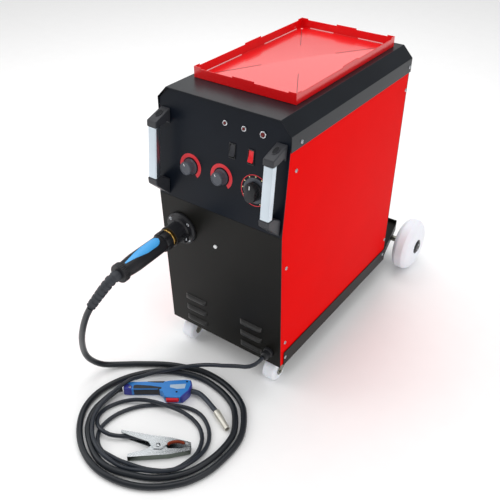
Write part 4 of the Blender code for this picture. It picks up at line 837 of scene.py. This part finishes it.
settle("nozzle_cone", turned(cone, aim, 48), plated_copper, "cabinet", stands_for=("gas_nozzle",), sharp=35)
# The contact tip, deep in the nozzle, is coloured near black.
tip = [(0, 0.0010), (0.0044, 0.0010), (0.0044, 0.0400), (0.0030, 0.0440), (0.0030, 0.0480), (0, 0.0480)]
settle("contact_tip", turned(tip, aim, 24),
       surface("near_black_copper_tip", "#2A201C", "#3A2A22", 0.5, 0.8, grain=0.6), "cabinet")


# ---- earth clamp --------------------------------------------------------------------------------------------
# Pressed steel arms, zinc plated and bright, with a copper braid between the jaws, a domed rivet and a
# bright zinc fixing screw where the cable's lug is held.
clamp_zinc = surface("bright_pressed_zinc", "#C4C9CC", "#D6DADC", 0.25, 1.0, grain=1.4, relief=0.01, patch=14.0,
                     spread=0.09)
soften("earth_clamp_fixed_arm", clamp_zinc, 0.0006, 3)
lower_arm = soften("earth_clamp_moving_arm", clamp_zinc, 0.0006, 3)
# The moving arm's steep side faces take a second, darker zinc as painted shade; faces turned up or down keep the
# bright zinc.
lower_arm.data.materials.append(surface("zinc_side_painted_shade", "#5E665F", "#6E766E", 0.36, 1.0, grain=1.4,
                                         relief=0.01, patch=14.0, spread=0.09))
for face in lower_arm.data.polygons:
    face.material_index = 1 if abs(face.normal.z) < 0.5 else 0
vice = Matrix.Translation((0.0475, -0.3000 + FRONT, 0)) @ Matrix.Rotation(radians(34), 4, 'Z')
braid_copper = surface("tinned_copper_braid", "#A4482C", "#7C3220", 0.4, 0.75, grain=1.1, relief=0.25, patch=6.0,
                       stretch=(1, 1, 2.5))
braid = smooth_path([vice @ Vector(p) for p in (
    (0.0200, 0.0020, 0.0188), (0.0270, 0.0060, 0.0205), (0.0390, 0.0085, 0.0210), (0.0500, 0.0075, 0.0200),
    (0.0540, 0.0060, 0.0186))], 0.0008)
settle("copper_braid", sleeve(braid, lambda s: 0.0034 + 0.0003 * sin(s * 2 * pi / 0.0022), 20), braid_copper,
       "cabinet", sharp=60)
settle("clamp_rivet", turned([(0, 0.0186), (0.0052, 0.0186), (0.0050, 0.0200), (0.0036, 0.0212), (0, 0.0216)],
                             vice, 32), clamp_zinc, "cabinet", sharp=60)
screws("clamp_screw", "cabinet", 0.0040, [(from_front(vice, 0.0600, 0.0075, 0.0190), (0, 0, 1))])
soften("earth_cable_gland", black_abs, 0.0006, 3)


# ---- wheels and castors -----------------------------------------------------------------------------------
# Rear wheels and castor wheels are injection-moulded white nylon with satin treads; the forks, plates
# and axle are zinc plated, and the axle ends carry black caps.
white_nylon = surface("moulded_white_nylon", "#E9EBF3", "#F2F4FA", 0.4, grain=1.5, relief=0.01, patch=18.0,
                      Subsurface_Weight=0.08)
yellow_zinc = surface("passivated_zinc_steel", "#8F9088", "#A09F92", 0.36, 1.0, grain=1.2, relief=0.01, patch=9.0,
                      spread=0.08)
for side in ("left", "right"):
    for node, mat, width in (
            (f"rear_wheel_{side}", white_nylon, 0.0012), (f"castor_wheel_{side}", white_nylon, 0.0008),
            (f"castor_fork_{side}", yellow_zinc, 0.0005), (f"castor_plate_{side}", yellow_zinc, 0.0005)):
        soften(node, mat, width, 3, sharp=34)
soften("rear_axle", yellow_zinc, 0.0006, 3)
AXLE_Y, WHEEL_R, HUB_X = 0.611, 0.0725, 0.1990
hub_cap = [(0, 0.0090), (0.0200, 0.0090), (0.0200, 0.0120), (0.0150, 0.0138), (0.0142, 0.0148),
           (0.0120, 0.0152), (0, 0.0152)]
for side, sign in (("left", -1), ("right", 1)):
    hub = along((sign, 0, 0), sign * HUB_X, AXLE_Y, WHEEL_R)
    settle(f"hub_cap_{side}", turned(hub_cap, hub, 48), black_abs, f"rear_wheel_{side}", sharp=40)
    screws(f"hub_bolts_{side}", f"rear_wheel_{side}", 0.0026,
           [((sign * (HUB_X + 0.0151), AXLE_Y + dy, WHEEL_R + dz), (sign, 0, 0))
            for dy, dz in ((0.0020, 0.0070), (-0.0020, -0.0070))])


# ---- inside: wire feeder, power side, rear ------------------------------------------------------------------
# Behind the door a cast feed plate with steel rolls and a copper-coated spool on its hub; to the right
# of the zinc divider a laminated transformer and a cooling fan, with the gas valve in brass.
laminations = surface("varnished_laminations", "#4A4C50", "#54565A", 0.45, 0.8, grain=1.0, relief=0.1,
                      stretch=(0.02, 1, 0.02))
cast_aluminium = surface("cast_aluminium", "#AEB4B8", "#BCC2C6", 0.42, 1.0, grain=1.6, relief=0.04, patch=20.0)
copper_wire = surface("copper_coated_wire", "#B4683C", "#C47848", 0.3, 1.0, grain=1.2, relief=0.2,
                      stretch=(1.0, 0.03, 0.03))
for node, mat, width in (("inner_divider", yellow_zinc, 0.0004), ("feed_plate", cast_aluminium, 0.0010),
                         ("pressure_arm", cast_aluminium, 0.0008), ("drive_roll", yellow_zinc, 0.0004),
                         ("pressure_roll", yellow_zinc, 0.0004), ("feed_motor", laminations, 0.0008),
                         ("wire_spool", copper_wire, 0.0006), ("spool_hub", black_abs, 0.0008),
                         ("transformer", laminations, 0.0010), ("fan_frame", black_abs, 0.0008),
                         ("fan_rotor", black_abs, 0.0004), ("gas_valve", machined_brass, 0.0005),
                         ("door_latch", black_abs, 0.0008)):
    soften(node, mat, width)

for source in (screw_source, louvre_source):
    bpy.data.objects.remove(source, do_unlink=True)
